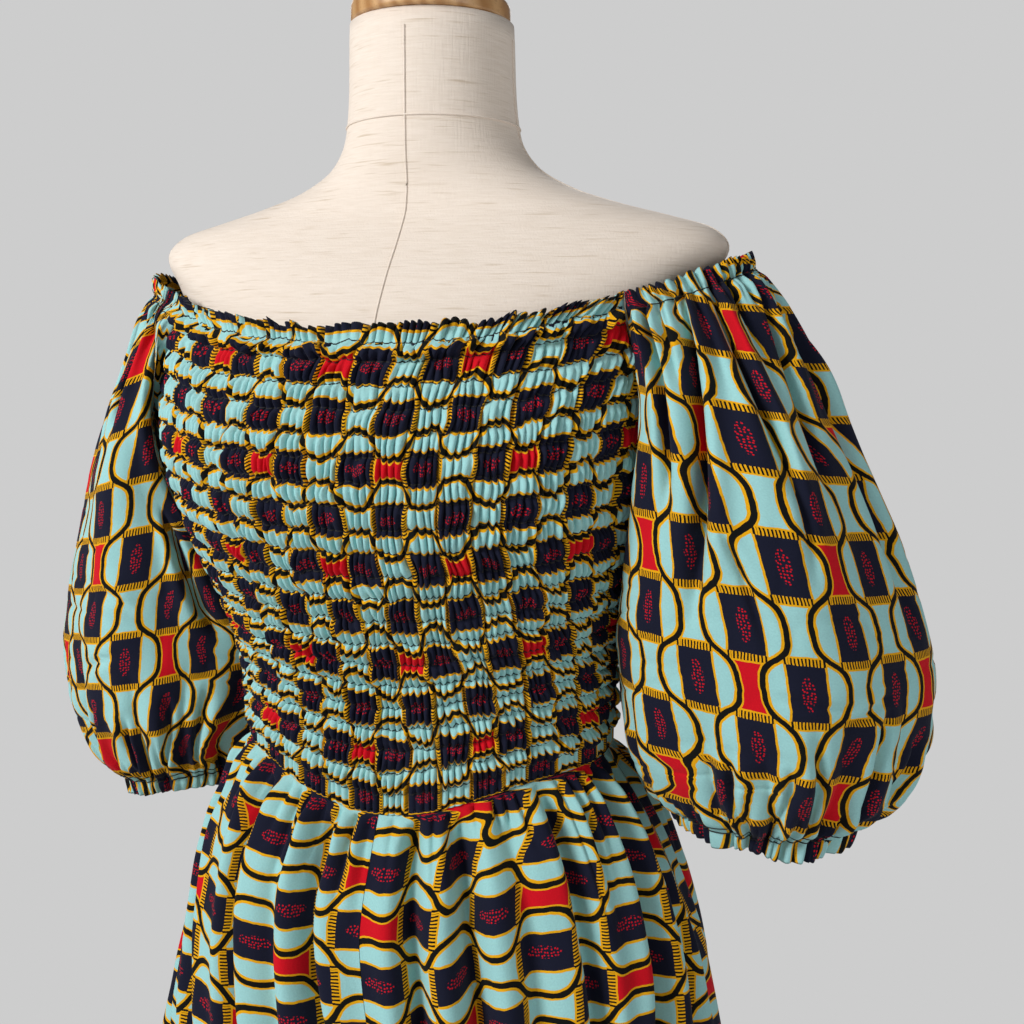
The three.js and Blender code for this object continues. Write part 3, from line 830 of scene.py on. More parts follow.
def mesh_object(name: str, points: Array, quads: Array, material: bpy.types.Material) -> bpy.types.Object:
    """Makes a smooth object of four-sided faces.

    Args:
        name: what the piece is called.
        points: its points in millimetres, one a row.
        quads: four point numbers a face, one face a row.
        material: its finish.

    Returns:
        The object, linked to the scene.
    """
    mesh = bpy.data.meshes.new(name)
    mesh.vertices.add(len(points))
    mesh.vertices.foreach_set("co", (points * MM).astype(np.float32).ravel())
    mesh.loops.add(quads.size)
    mesh.loops.foreach_set("vertex_index", quads.astype(np.int32).ravel())
    mesh.polygons.add(len(quads))
    mesh.polygons.foreach_set("loop_start", np.arange(0, quads.size, 4, dtype=np.int32))
    mesh.polygons.foreach_set("use_smooth", np.ones(len(quads), dtype=bool))
    mesh.update(calc_edges=True)
    mesh.validate()
    mesh.materials.append(material)
    piece = bpy.data.objects.new(name, mesh)
    bpy.context.scene.collection.objects.link(piece)
    return piece


def grid_quads(rows: int, columns: int, closed: bool) -> Array:
    """Numbers the faces of a grid of points.

    Args:
        rows: rows of points.
        columns: points in a row.
        closed: whether each row joins up with its own start.

    Returns:
        Four point numbers a face.
    """
    i, j = np.meshgrid(np.arange(rows - 1), np.arange(columns if closed else columns - 1), indexing="ij")
    after = (j + 1) % columns
    here, below = i * columns, (i + 1) * columns
    return np.stack([here + j, below + j, below + after, here + after], -1).reshape(-1, 4)


def sheet_object(
    name: str, points: Array, cut: Array, closed: bool, outward: Array, material: bpy.types.Material
) -> bpy.types.Object:
    """Makes a sheet of cloth from a grid of points.

    Args:
        name: what the piece is called.
        points: rows and columns of points, in millimetres.
        cut: each point's place on the flat cut, in millimetres. A closed sheet has one more column than
            points.
        closed: whether each row joins up with its own start.
        outward: the way that the middle of the grid faces.
        material: its finish.

    Returns:
        The object, linked to the scene.
    """
    rows, columns = points.shape[:2]
    quads = grid_quads(rows, columns, closed)
    cut_quads = grid_quads(rows, cut.shape[1], False)
    i, j = rows // 2, columns // 2
    facing = np.cross(points[i + 1, j] - points[i, j], points[i, (j + 1) % columns] - points[i, j])
    if np.dot(facing, outward) < 0.0:
        quads, cut_quads = quads[:, ::-1], cut_quads[:, ::-1]
    piece = mesh_object(name, points.reshape(-1, 3), quads, material)
    layer = piece.data.uv_layers.new(name="flat_cut")
    layer.data.foreach_set("uv", (cut.reshape(-1, 2)[cut_quads.ravel()] * MM).astype(np.float32).ravel())
    return piece


def weld(piece: bpy.types.Object) -> None:
    """Joins points that lie in one place, and drops the faces that had no area.

    Args:
        piece: the sheet.
    """
    sheet = bmesh.new()
    sheet.from_mesh(piece.data)
    bmesh.ops.remove_doubles(sheet, verts=sheet.verts, dist=1e-6)
    sheet.to_mesh(piece.data)
    sheet.free()


def cord_mesh(
    name: str, paths: list[Array], radius: float, sides: int, material: bpy.types.Material
) -> bpy.types.Object:
    """Makes one mesh of thin cords.

    Args:
        name: what the piece is called.
        paths: the points that each cord follows, in millimetres.
        radius: of the cords.
        sides: of their section.
        material: their finish.

    Returns:
        The object, linked to the scene.
    """
    points, quads, start = [], [], 0
    turns = np.arange(sides) * math.tau / sides
    for path in paths:
        ahead = np.gradient(path, axis=0)
        ahead /= np.linalg.norm(ahead, axis=1, keepdims=True)
        first = np.cross(ahead, (0.0, 0.0, 1.0))
        first /= np.linalg.norm(first, axis=1, keepdims=True)
        second = np.cross(ahead, first)
        ring = first[:, None] * np.cos(turns)[:, None] + second[:, None] * np.sin(turns)[:, None]
        points.append((path[:, None] + radius * ring).reshape(-1, 3))
        quads.append(grid_quads(len(path), sides, True) + start)
        start += len(path) * sides
    return mesh_object(name, np.concatenate(points), np.concatenate(quads), material)


def settle(piece: bpy.types.Object, slot: str, *nodes: str) -> None:
    """Puts a piece on the body and reports it.

    Args:
        piece: the piece.
        slot: its material slot.
        nodes: the solids that it stands for, if any.
    """
    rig.ride(piece, BODY)
    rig.slot(piece, slot)
    if nodes:
        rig.replaces(piece, *nodes)
    LOG.info("%s: %d faces", piece.name, len(piece.data.polygons))


# --------------------------------------------------------------------------------------------------
# The jumpsuit
# --------------------------------------------------------------------------------------------------


def flutes(phase: Array, sharp: float = 0.8) -> Array:
    """Round ridges with narrow troughs between them, from -1 to 1, one for each unit of phase."""
    return 2.0 * np.abs(np.sin(math.pi * phase)) ** sharp - 1.0


def bump(value: Array, width: float) -> Array:
    """1 at 0, and down to nothing a couple of widths away."""
    return np.exp(-((value / width) ** 2))


def walked(points: Array, axis: int) -> Array:
    """Adds up the distances along one way of a grid of points.

    Args:
        points: the grid.
        axis: the way.

    Returns:
        Distances from the grid's start, where they are 0.
    """
    steps = np.linalg.norm(np.diff(points, axis=axis), axis=-1)
    start = np.zeros_like(np.take(steps, [0], axis=axis))
    return np.cumsum(np.concatenate([start, steps], axis=axis), axis=axis)


def laid_cut(points: Array, relief: Array, width: Array) -> Array:
    """Lays each row's width of cloth along it, with what is to spare tucked into its troughs.

    Args:
        points: rows of points.
        relief: each point's height over the plain shape.
        width: of the cloth at each row, as a column.

    Returns:
        Distances across the cloth, from 0 at the rows' start.
    """
    length = walked(points, 1)
    spare = width - length[:, -1:]
    middle = (relief[:, 1:] + relief[:, :-1]) / 2
    low = np.maximum(middle.mean(axis=1, keepdims=True) - middle, 0.0) ** 1.5 + 0.02
    steps = np.concatenate([np.zeros_like(length[:, :1]), low * np.diff(length, axis=1)], axis=1)
    tucked = np.cumsum(steps, axis=1)
    tucked /= tucked[:, -1:]
    return np.where(spare > 0.0, length + tucked * spare, length * width / length[:, -1:])


@dataclass(frozen=True)
class Fold:
    """A trough between two places on the cloth, with a soft lip on each side."""

    start: tuple[float, float]
    end: tuple[float, float]
    wide_mm: float
    deep_mm: float

    def relief(self, x: Array, y: Array, size_mm: tuple[float, float], around: bool = False) -> Array:
        """Works out the fold's depth.

        Args:
            x: shares across the cloth.
            y: shares down it.
            size_mm: the cloth's size across and down.
            around: whether the cloth's sides meet.

        Returns:
            Heights in millimetres, negative in the trough.
        """
        (x0, y0), (x1, y1) = self.start, self.end
        run = np.array([(x1 - x0) * size_mm[0], (y1 - y0) * size_mm[1]])
        length = float(np.hypot(*run))
        away = x - x0
        if around:
            away = away - np.round(away - (x1 - x0) / 2)
        u, v = away * size_mm[0], (y - y0) * size_mm[1]
        share = (u * run[0] + v * run[1]) / length**2
        sway = 0.35 * self.wide_mm * np.sin(share * 5.0 + x0 * 40.0)
        aside = (u * run[1] - v * run[0]) / length + sway
        wide = self.wide_mm * mix(0.4, 0.75, np.clip(share, 0.0, 1.0))
        fade = ease((share + 0.12) / 0.3) * (1.0 - ease((share - 0.62) / 0.48))
        lips = bump(aside - 2.8 * wide, 2.0 * wide) + 0.7 * bump(aside + 2.8 * wide, 2.0 * wide)
        return self.deep_mm * fade * (0.5 * lips - bump(aside, wide))


@dataclass
class Bodice:
    """The front and back panels, shirred all over on rows of elastic thread sewn through them."""

    cloth: bpy.types.Material
    thread: bpy.types.Material
    puckers: int = 112
    pucker_points: int = 6
    row_places: dict[Face, tuple[float, ...]] = field(
        default_factory=lambda: {
            Face.FRONT: (0.0, 0.1, 0.27, 0.5, 0.73, 0.9),
            Face.BACK: (0.0, 0.13, 0.37, 0.63, 0.87),
        }
    )
    elastic_rows: int = 20
    first_row: float = 0.034
    second_row: float = 0.069
    flute_mm: float = 5.9
    lying_mm: float = 0.9
    spread: float = 0.35
    bend: float = 2.2
    flat_width_mm: float = 882.0
    flat_length_mm: float = 315.0
    print_start_mm: dict[Face, tuple[float, float]] = field(
        default_factory=lambda: {Face.FRONT: (37.0, 123.0), Face.BACK: (34.9, 18.0)}
    )
    turned_in: tuple[float, ...] = (0.05, 0.03, 0.012, 0.004)
    turned_in_mm: float = 1.5
    height_mm: float = 290.0
    bust_z: float = 1180.0
    cord_mm: float = 0.48
    cord_points: int = 3

    def build(self) -> None:
        """Makes both panels and their elastic."""
        for face in Face:
            name = face.name.lower()
            waves = Waves(11 if face is Face.FRONT else 12)
            panel = self.panel(face, waves)
            settle(panel, "printed_cotton", f"bodice_{name}")
            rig.sheet(
                panel,
                flat=(self.flat_width_mm * MM, self.flat_length_mm * MM),
                held="gathered",
                rests_on=["dress_form"],
                area=0.25,
            )
            settle(self.elastic(face, waves), "printed_cotton")

    def elastic_shares(self) -> Array:
        """Where the rows of elastic lie, from the neck edge at 0 to the waist seam at 1."""
        even = np.linspace(self.second_row, 1.0, self.elastic_rows + 1)[:-1]
        return np.concatenate([[self.first_row], even])

    def row_shares(self, face: Face) -> Array:
        """Spaces the panel's rows of points, closer together at the elastic.

        Args:
            face: the panel.

        Returns:
            Each row's share of the way from the neck edge to the waist seam.
        """
        places, rows = np.array(self.row_places[face]), self.elastic_shares()
        between = [mix(low, high, places) for low, high in zip(rows, np.append(rows[1:], 1.0))]
        return np.concatenate([[0.0, self.first_row * 0.5], *between, [0.994, 1.0]])

    def height(self, share: Array, angle: Array, face: Face) -> Array:
        """Gives the height of a row, which lies nearly level away from the neck and the waist.

        Args:
            share: of the row.
            angle: round the body.
            face: the panel.

        Returns:
            The height at each angle, in millimetres.
        """
        middle = np.full_like(angle, face.value * math.pi / 2)
        neck, waist = FIGURE.neck_z(middle), FIGURE.waist_seam_z(0.0 * angle, face)
        x = FIGURE.waist_half_width * bent(np.cos(angle), 2.2)
        neck_rise = (FIGURE.neck_z(angle) - neck) * (1.0 - share) ** self.bend
        waist_rise = (FIGURE.waist_seam_z(x, face) - waist) * share**self.bend
        return mix(neck, waist + FIGURE.seam_gap / 2, share) + neck_rise + waist_rise

    def row_end(self, share: Array, face: Face) -> Array:
        """Works out where rows end.

        Args:
            share: of each row.
            face: the panel.

        Returns:
            Angles from the side, at the side seam or further in along the armhole.
        """
        low, high = np.zeros_like(share), np.full_like(share, FIGURE.armhole_top)
        for _ in range(40):
            middle = (low + high) / 2
            above = self.height(share, face.value * middle, face) > FIGURE.armhole_z(face.value * middle)
            low, high = np.where(above, middle, low), np.where(above, high, middle)
        beside = self.height(share, np.zeros_like(share), face) >= FIGURE.underarm_z
        return np.where(beside, high + 0.0008, 0.0008)

    def relief(self, share: Array, pucker: Array, edge: Array, waves: Waves) -> tuple[Array, Array, Array]:
        """Raises the flutes between the puckers.

        Args:
            share: of each row.
            pucker: puckers from the wearer's left side. A trough lies at each whole one.
            edge: distance from the panel's ends, in puckers.
            waves: the panel's own unevenness.

        Returns:
            Heights over the plain figure in millimetres, where each point lies in puckers after slipping
            sideways, and how far it is raised.
        """
        rows = self.elastic_shares()
        order = np.interp(share, rows, np.arange(len(rows)))
        near_row = np.abs(order - np.round(order)) * (rows[2] - rows[1]) * self.height_mm
        loose = ease((share - 0.036) / 0.01) * (1.0 - ease((share - 0.057) / 0.011))
        heading = 1.0 - ease(share / self.first_row)
        nearest = np.round(pucker)
        deep = np.clip(0.84 + 0.70 * waves.at(nearest * 1.7 + 5, order * 0.9), 0.25, 1.1)
        deep = mix(deep, 1.0, 0.5 * bump(near_row, 1.6)) * (1.0 - 0.85 * loose * (nearest % 2.0))
        trough = deep * (1.0 - np.abs(np.sin(math.pi * pucker)) ** 1.0)
        fade = ease(edge / 1.6)
        slip = 0.42 * waves.at(pucker * 0.43, order * 0.9)
        slip = slip + (0.36 + 0.5 * loose) * waves.at(pucker * 0.23 + 40, order * 1.1)
        lies = pucker - fade * (slip + self.spread * deep / math.tau * np.sin(math.tau * pucker))
        uneven = 0.90 + 0.32 * waves.at(pucker * 0.9 + 7, order * 0.8 + 3)
        pillow = 1.0 - 0.52 * bump(near_row, 2.3) * (1.0 - heading)
        sewn = 1.0 - 0.55 * bump((1.0 - share) * self.height_mm, 2.5)
        fuller = 1.0 + 0.55 * loose + 0.15 * heading
        raised = self.flute_mm * (1.0 - trough) * uneven * pillow * sewn * fuller
        slack = 0.7 * waves.at(pucker * 0.13 + 3, order * 0.35)
        slack = slack + 0.5 * waves.at(pucker * 0.4, order * 0.9 + 11)
        crumple = 2.0 * waves.at(pucker * 0.45, share * 60.0 + 9)
        crumple = (loose + heading) * (crumple + 1.5 * waves.at(pucker * 1.1, share * 90.0))
        out = (raised + slack + crumple - 0.5 * bump(near_row, 1.2)) * mix(0.12, 1.0, fade)
        out = self.lying_mm + out + 1.6 * heading * fade
        return out, lies, raised

    def points(
        self, share: Array, pucker: Array, face: Face, waves: Waves, lift: float = 0.0
    ) -> tuple[Array, Array]:
        """Lays the panel's points on the figure.

        Args:
            share: of each row, as a column.
            pucker: of each point of a row, from the wearer's left side. It is held within the panel's ends.
            face: the panel.
            waves: its own unevenness.
            lift: further out, in millimetres.

        Returns:
            Points in millimetres and each one's pucker.
        """
        low, high = self.ends(share, face)
        held = np.clip(pucker, low, high)
        edge = np.minimum(held - low, high - held)
        out, lies, raised = self.relief(share, held, edge, waves)
        angle = face.value * self.angle_at(np.clip(lies, low, high), share)
        place = FIGURE.bodice.oval(angle, self.height(share, angle, face), out + lift)
        heading = 1.0 - ease(share / self.first_row)
        inner = ease(edge / 1.6) * ease((1.0 - share) / 0.02)
        wander = 1.6 * waves.at(held * 1.1, share * 19.0 + 20)
        wander = wander + 0.4 * (raised - 3.0) * waves.at(held * 0.6, share * 23.0)
        wander = wander + (0.5 - np.sin(math.pi * held) ** 2)
        ruffle = 0.28 * raised - 1.4 + 1.9 * waves.at(held * 0.45, 60.0)
        ruffle = ruffle + 0.9 * waves.at(held * 1.3, 64.0)
        place[..., 2] += inner * mix(wander, ruffle, heading)
        return place, held

    def narrowing(self, share: Array) -> Array:
        """Compares the way round the body with that at the underarm.

        Args:
            share: of each row.

        Returns:
            The way round at each row, as a share of 1 at most.
        """
        level = mix(FIGURE.neck_centre_z[0], FIGURE.waist_z, share)
        size = FIGURE.bodice.at("wide", level) + FIGURE.bodice.at("deep", level)
        widest = FIGURE.bodice.at("wide", FIGURE.underarm_z) + FIGURE.bodice.at("deep", FIGURE.underarm_z)
        return np.minimum(size / widest, 1.0)

    def line_of_puckers(self) -> tuple[Array, Array]:
        """Spaces the puckers evenly along the bust line.

        Returns:
            Angles from the wearer's left to right, and the puckers between there and the middle.
        """
        turns = np.linspace(0.0, math.pi, 721)
        length = walked(FIGURE.bodice.oval(turns, np.full_like(turns, self.bust_z)), 0)
        return turns, (length / length[-1] - 0.5) * self.puckers

    def ends(self, share: Array, face: Face) -> tuple[Array, Array]:
        """The first and last pucker of each row, counted from the wearer's left side at the underarm."""
        half = np.interp(self.row_end(share, face), *self.line_of_puckers()) * self.narrowing(share)
        return self.puckers / 2 + half, self.puckers / 2 - half

    def angle_at(self, pucker: Array, share: Array) -> Array:
        """The angle at a pucker of a row."""
        turns, puckers = self.line_of_puckers()
        return np.interp((pucker - self.puckers / 2) / self.narrowing(share), puckers, turns)

    def panel(self, face: Face, waves: Waves) -> bpy.types.Object:
        """Makes one panel with its neck edge turned in.

        Args:
            face: front or back.
            waves: its own unevenness.

        Returns:
            The panel.
        """
        inside, down = np.array(self.turned_in), self.row_shares(face)
        share = np.concatenate([inside, down])[:, None]
        pucker = np.arange(self.puckers * self.pucker_points + 1)[None, :] / self.pucker_points
        points, held = self.points(share, pucker, face, waves)
        level = points[: len(inside), :, :2]
        inward = level / np.linalg.norm(level, axis=-1, keepdims=True)
        points[: len(inside), :, :2] -= inward * self.turned_in_mm
        start_a, start_b = self.print_start_mm[face]
        across = self.flat_width_mm * (held / self.puckers - 0.5)
        signed = np.concatenate([-inside, down])[:, None]
        cut = np.stack(np.broadcast_arrays(start_a + self.flat_length_mm * signed, start_b - across), -1)
        outward = np.array([0.0, float(face.value), 0.0])
        piece = sheet_object(f"bodice_{face.name.lower()}_cloth", points, cut, False, outward, self.cloth)
        weld(piece)
        return piece

    def elastic(self, face: Face, waves: Waves) -> bpy.types.Object:
        """Sews the rows of elastic thread.

        Args:
            face: front or back.
            waves: the panel's own unevenness.

        Returns:
            All rows of the panel as one mesh.
        """
        pucker = np.arange(self.puckers * self.cord_points + 1) / self.cord_points
        paths = []
        for share in self.elastic_shares()[:, None]:
            low, high = self.ends(share, face)
            inner = pucker[(pucker > low + 0.3) & (pucker < high - 0.3)]
            paths.append(self.points(share[:, None], inner[None, :], face, waves, 0.2)[0][0])
        return cord_mesh(f"bodice_{face.name.lower()}_elastic", paths, self.cord_mm, 3, self.thread)


@dataclass
class Sleeve:
    """A puff sleeve, cut in one, gathered on elastic at the neck edge and at the elbow."""

    side: Side
    cloth: bpy.types.Material
    thread: bpy.types.Material
    sections: Sections
    folds: tuple[Fold, ...]
    tilt_mm: float
    slipped_mm: float
    seed: int
    print_line: float
    print_start_mm: tuple[float, float]
    print_lean: float
    columns: int = 340
    rows: int = 160
    neck_share: float = 0.62
    flat_width_mm: float = 590.0
    flat_length_mm: float = 350.0
    neck_casing: float = 0.035
    cuff_casing: float = 0.976
    gathers: int = 30
    cord_mm: float = 0.42
    dense_shares: tuple[float, float] = (0.12, 0.84)
    dense_rows: tuple[int, int] = (34, 52)
    turned_in_mm: float = 1.3
    neck_mm: float = 4.6
    neck_wide_mm: float = 4.6
    neck_fine_mm: float = 2.1
    neck_pinch_mm: float = 2.4
    round_mm: float = 3.4
    cuff_mm: float = 4.0
    cuff_wide_mm: float = 5.0
    cuff_fine_mm: float = 1.9
    cuff_pinch_mm: float = 2.8

    def build(self) -> None:
        """Makes the sleeve and its elastic."""
        name = f"sleeve_{self.side.name.lower()}"
        waves = Waves(self.seed)
        (high, low), (at_top, at_cuff) = self.dense_shares, self.dense_rows
        between = np.linspace(high, low, self.rows + 2 - at_top - at_cuff)
        drop = np.concatenate(
            [np.linspace(0.0, high, at_top)[:-1], between[:-1], np.linspace(low, 1.0, at_cuff)]
        )[:, None]
        turn = np.arange(self.columns + 1)[None, :] / self.columns
        points = self.points(drop, turn, waves)
        across = laid_cut(points, self.relief(drop, turn, waves), np.full_like(drop, self.flat_width_mm))
        across -= across[:, round(self.print_line * self.columns)][:, None]
        length = walked(self.puff(drop, turn, 0.0), 0)
        along = length - length[-1:]
        points = points[:, :-1]
        points = np.concatenate([self.turned(points, [8, 3]), points, self.turned(points, [-4, -10])])
        along = np.concatenate([along[:1] - [[8.0], [1.0]], along, along[-1:] + [[1.0], [9.0]]])
        across = np.concatenate([across[[8, 3]], across, across[[-4, -10]]])
        start_a, start_b = self.print_start_mm
        cut = np.stack([start_a + across - self.print_lean * along, start_b + along], -1)
        middle = points[len(points) // 2]
        outward = middle[self.columns // 2] - middle.mean(axis=0)
        piece = sheet_object(f"{name}_cloth", points, cut, True, outward, self.cloth)
        settle(piece, "printed_cotton", name)
        flat = (self.flat_width_mm * MM, 0.40)
        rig.sheet(piece, flat=flat, held="gathered", rests_on=["bodice_front_cloth", "bodice_back_cloth"])
        around = np.linspace(0.0, 1.0, 4 * self.gathers * 2 + 1)[None, :]
        neck = np.linspace(0.2, 0.8, 160)[None, :]
        paths = [
            self.points(np.full((1, 1), self.neck_casing), neck, waves, 0.25)[0],
            self.points(np.full((1, 1), self.cuff_casing), around, waves, 0.25)[0],
            self.points(np.full((1, 1), self.cuff_casing - 0.012), around, waves, 0.25)[0],
        ]
        settle(cord_mesh(f"{name}_elastic", paths, self.cord_mm, 4, self.thread), "printed_cotton")

    def turned(self, points: Array, rows: list[int]) -> Array:
        """Turns an edge in.

        Args:
            points: the sheet.
            rows: its rows that the turned rows lie behind.

        Returns:
            The turned rows.
        """
        inside = points[rows]
        level = inside - inside.mean(axis=1, keepdims=True)
        level[..., 2] = 0.0
        return inside - self.turned_in_mm * level / np.linalg.norm(level, axis=-1, keepdims=True)

    def top(self, turn: Array) -> Array:
        """Lays the top edge along the armhole and, over the shoulder, along the neck edge.

        Args:
            turn: once round from the underarm by the front, the outer side and the back.

        Returns:
            Points on the wearer's left.
        """
        half = np.where(turn < 0.5, turn, 1.0 - turn)
        face = np.where(turn < 0.5, -1.0, 1.0)
        armhole = (1.0 - self.neck_share) / 2
        away = np.where(
            half < armhole,
            FIGURE.armhole_top * half / armhole,
            FIGURE.armhole_top * (1.0 - (half - armhole) / (0.5 - armhole)),
        )
        angle = face * np.maximum(away + 0.006 * (half < armhole), 0.0005)
        z = np.where(half < armhole, FIGURE.armhole_z(angle), FIGURE.neck_z(angle))
        out = 1.2 + 1.2 * (1.0 - ease((half - armhole) / 0.05))
        place = FIGURE.bodice.oval(angle if self.side is Side.LEFT else math.pi - angle, z, out)
        place[..., 0] = np.abs(place[..., 0])
        return place

    def ring(self, turn: Array, height: Array) -> tuple[Array, Array]:
        """Gives the oval that the sleeve fills at each height.

        Args:
            turn: share of the way round.
            height: of each point, in millimetres.

        Returns:
            The ovals' middles, and the points, on the wearer's left.
        """
        names = ("inner", "outer", "front", "back")
        inner, outer, front, back = (self.sections.at(name, height) for name in names)
        middle = np.stack([(inner + outer) / 2, (front + back) / 2, height], -1)
        x = middle[..., 0] - (outer - inner) / 2 * np.cos(math.tau * turn)
        y = middle[..., 1] - (back - front) / 2 * np.sin(math.tau * turn)
        return middle, np.stack([x, y, height], -1)

    def puff(self, drop: Array, turn: Array, out: Array | float) -> Array:
        """Fills the sleeve out.

        Args:
            drop: share of the way down.
            turn: share of the way round.
            out: how far each point stands out, in millimetres.

        Returns:
            Points on the wearer's left.
        """
        drop, turn = np.broadcast_arrays(drop, turn)
        top = self.top(turn)
        hem = self.sections.heights[0] + self.tilt_mm * (0.5 + 0.5 * np.cos(math.tau * turn))
        middle, place = self.ring(turn, mix(top[..., 2], hem, drop))
        shift = (top - self.ring(turn, top[..., 2])[1]) * (1.0 - ease(drop / 0.4))[..., None]
        shift[..., 2] = 0.0
        place = place + shift
        away = place - middle
        away[..., 2] = 0.0
        away = away / (np.linalg.norm(away, axis=-1, keepdims=True) + 1e-9)
        return place + away * np.asarray(out)[..., None]

    def points(self, drop: Array, turn: Array, waves: Waves, lift: float = 0.0) -> Array:
        """Lays the sleeve's points with its folds and gathers.

        Args:
            drop: share of the way down.
            turn: share of the way round.
            waves: the sleeve's own unevenness.
            lift: further out, in millimetres.

        Returns:
            Points in millimetres.
        """
        drop, turn = np.broadcast_arrays(drop, turn)
        place = self.puff(drop, turn, self.relief(drop, turn, waves) + lift)
        place = self.clear_of_body(place, mix(0.5, 11.0, ease(drop / 0.06)))
        frill = ease((drop - self.cuff_casing) / (1.0 - self.cuff_casing))
        frills = 3.0 * waves.at(turn * 17.0, 12.0, 17) + 1.5 * waves.at(turn * 40.0, 15.0, 40) - 3.0
        place[..., 2] += frill * frills
        ruffle = self.at_neck(turn) * (1.0 - ease(drop / self.neck_casing))
        scallops = 1.2 * flutes(2.0 * self.gather(drop, turn, waves))
        scallops = scallops + 1.6 * waves.at(turn * 25.0, 44.0, 25) - 1.5
        slipped = self.slipped_mm * bump(turn - 0.5, 0.2) * (1.0 - ease(drop / 0.4))
        place[..., 2] += ruffle * scallops - slipped
        place[..., 0] *= self.side.value
        return place

    def at_neck(self, turn: Array) -> Array:
        """1 where the top edge is part of the neck edge, and 0 at the armhole."""
        return ease((np.minimum(turn, 1.0 - turn) - (1.0 - self.neck_share) / 2 + 0.02) / 0.05)

    def gather(self, drop: Array, turn: Array, waves: Waves) -> Array:
        """Gathers from the underarm round to each point."""
        return turn * self.gathers + 0.45 * waves.at(turn * 24.0, drop * 2.0, 24)

    def relief(self, drop: Array, turn: Array, waves: Waves) -> Array:
        """Works out the folds and gathers.

        Args:
            drop: share of the way down.
            turn: share of the way round.
            waves: the sleeve's own unevenness.

        Returns:
            Heights in millimetres.
        """
        from_neck, from_cuff = drop - self.neck_casing, self.cuff_casing - drop
        middle = ease(drop / 0.25) * (1.0 - ease((drop - 0.78) / 0.2))
        phase = 5.0 * math.tau * turn + self.seed + 2.0 * drop + waves.at(turn * 8.0, drop * 2.0 + 50, 8)
        round_folds = self.round_mm * middle * np.cos(phase)
        slack = 3.0 + 1.3 * waves.at(turn * 14.0, drop * 6.0 + 30, 14)
        slack = slack + 0.8 * waves.at(turn * 32.0, drop * 14.0 + 5, 32)
        crease = (1.0 - np.abs(waves.at(turn * 12.0, drop * 17.0 + 60, 12))) ** 7
        creases = 1.2 * crease * ease((drop - 0.3) / 0.2) * (1.0 - ease((drop - 0.84) / 0.1))
        size = (self.flat_width_mm, self.flat_length_mm)
        placed = sum(fold.relief(turn, drop, size, True) for fold in self.folds)
        at_top = self.neck_relief(drop, turn, from_neck, waves) * mix(0.12, 1.0, self.at_neck(turn))
        out = at_top + placed * ease(drop / 0.05) + round_folds
        for cuff_part in self.cuff_reliefs(drop, turn, from_cuff, waves):
            out = out + cuff_part
        return out + slack * middle - creases

    def neck_relief(self, drop: Array, turn: Array, from_neck: Array, waves: Waves) -> Array:
        """Works out the gathers that the neck edge's elastic makes.

        Args:
            drop: share of the way down.
            turn: share of the way round.
            from_neck: share of the way down from the neck edge's elastic.
            waves: the sleeve's own unevenness.

        Returns:
            Heights in millimetres.
        """
        fine = flutes(2.0 * self.gather(drop, turn, waves)) - 0.3
        fine = self.neck_fine_mm * fine * (0.9 + 0.6 * waves.at(turn * 30.0, 3.0, 30))
        fine = fine * (1.0 - ease((from_neck - 0.01) / 0.05))
        gather = flutes(self.gather(drop, turn, waves)) - 0.3
        strong = 0.8 + 0.6 * waves.at(turn * 26.0 + 3, 5.0, 26)
        reach = 0.16 + 0.12 * waves.at(turn * 32.0, 17.0, 32)
        neck = self.neck_mm * strong * gather * (1.0 - ease(np.maximum(from_neck, 0.0) / reach))
        neck = neck * ease(from_neck / 0.02 + 0.5)
        neck = neck + fine + 2.6 * (1.0 - ease(drop / self.neck_casing))
        wide = flutes(turn * 13 + 0.4 * waves.at(turn * 16.0, drop * 1.5 + 9, 16) + 0.15) - 0.3
        ends = 0.3 + 0.2 * waves.at(turn * 16, 31.0, 16)
        deep = self.neck_wide_mm * wide * ease(from_neck / 0.06) * (1.0 - ease(from_neck / ends))
        return neck + deep + -self.neck_pinch_mm * bump(from_neck, 0.0075)

    def cuff_reliefs(self, drop: Array, turn: Array, from_cuff: Array, waves: Waves) -> tuple[Array, ...]:
        """Works out the gathers that the cuff's elastic makes.

        Args:
            drop: share of the way down.
            turn: share of the way round.
            from_cuff: share of the way up from the cuff's elastic.
            waves: the sleeve's own unevenness.

        Returns:
            Heights in millimetres: gathers, fine gathers, wide folds above, the pinch of the elastic and the
            frill below it.
        """
        phase = turn * self.gathers + 0.6 * waves.at(turn * 24.0, drop * 3.0 + 70, 24)
        tight = (flutes(2.0 * phase + 0.2) - 0.3) * (0.9 + 0.6 * waves.at(turn * 30.0, 66.0, 30))
        tight = self.cuff_fine_mm * tight * ease((0.06 - from_cuff) / 0.04)
        rise = 0.08 + 0.05 * waves.at(turn * 32.0, 93.0, 32)
        strong = 0.8 + 0.5 * waves.at(turn * 22.0 + 5, 8.0, 22)
        cuff = self.cuff_mm * strong * (flutes(phase) - 0.3) * ease((rise + 0.03 - from_cuff) / rise)
        cuff = cuff * mix(1.0, 0.7, from_cuff < 0.0)
        wide = flutes(turn * 12 + 0.4 * waves.at(turn * 16.0, drop * 2.0 + 20, 16)) - 0.3
        wide = self.cuff_wide_mm * wide * ease((drop - 0.66) / 0.24) * (1.0 - ease((drop - 0.93) / 0.05))
        pinch = -self.cuff_pinch_mm * bump(from_cuff - 0.004, 0.010)
        flare = (0.5 + 2.0 * waves.at(turn * 15.0, 77.0, 15)) * ease(-from_cuff / 0.03)
        return cuff, tight, wide, pinch, flare

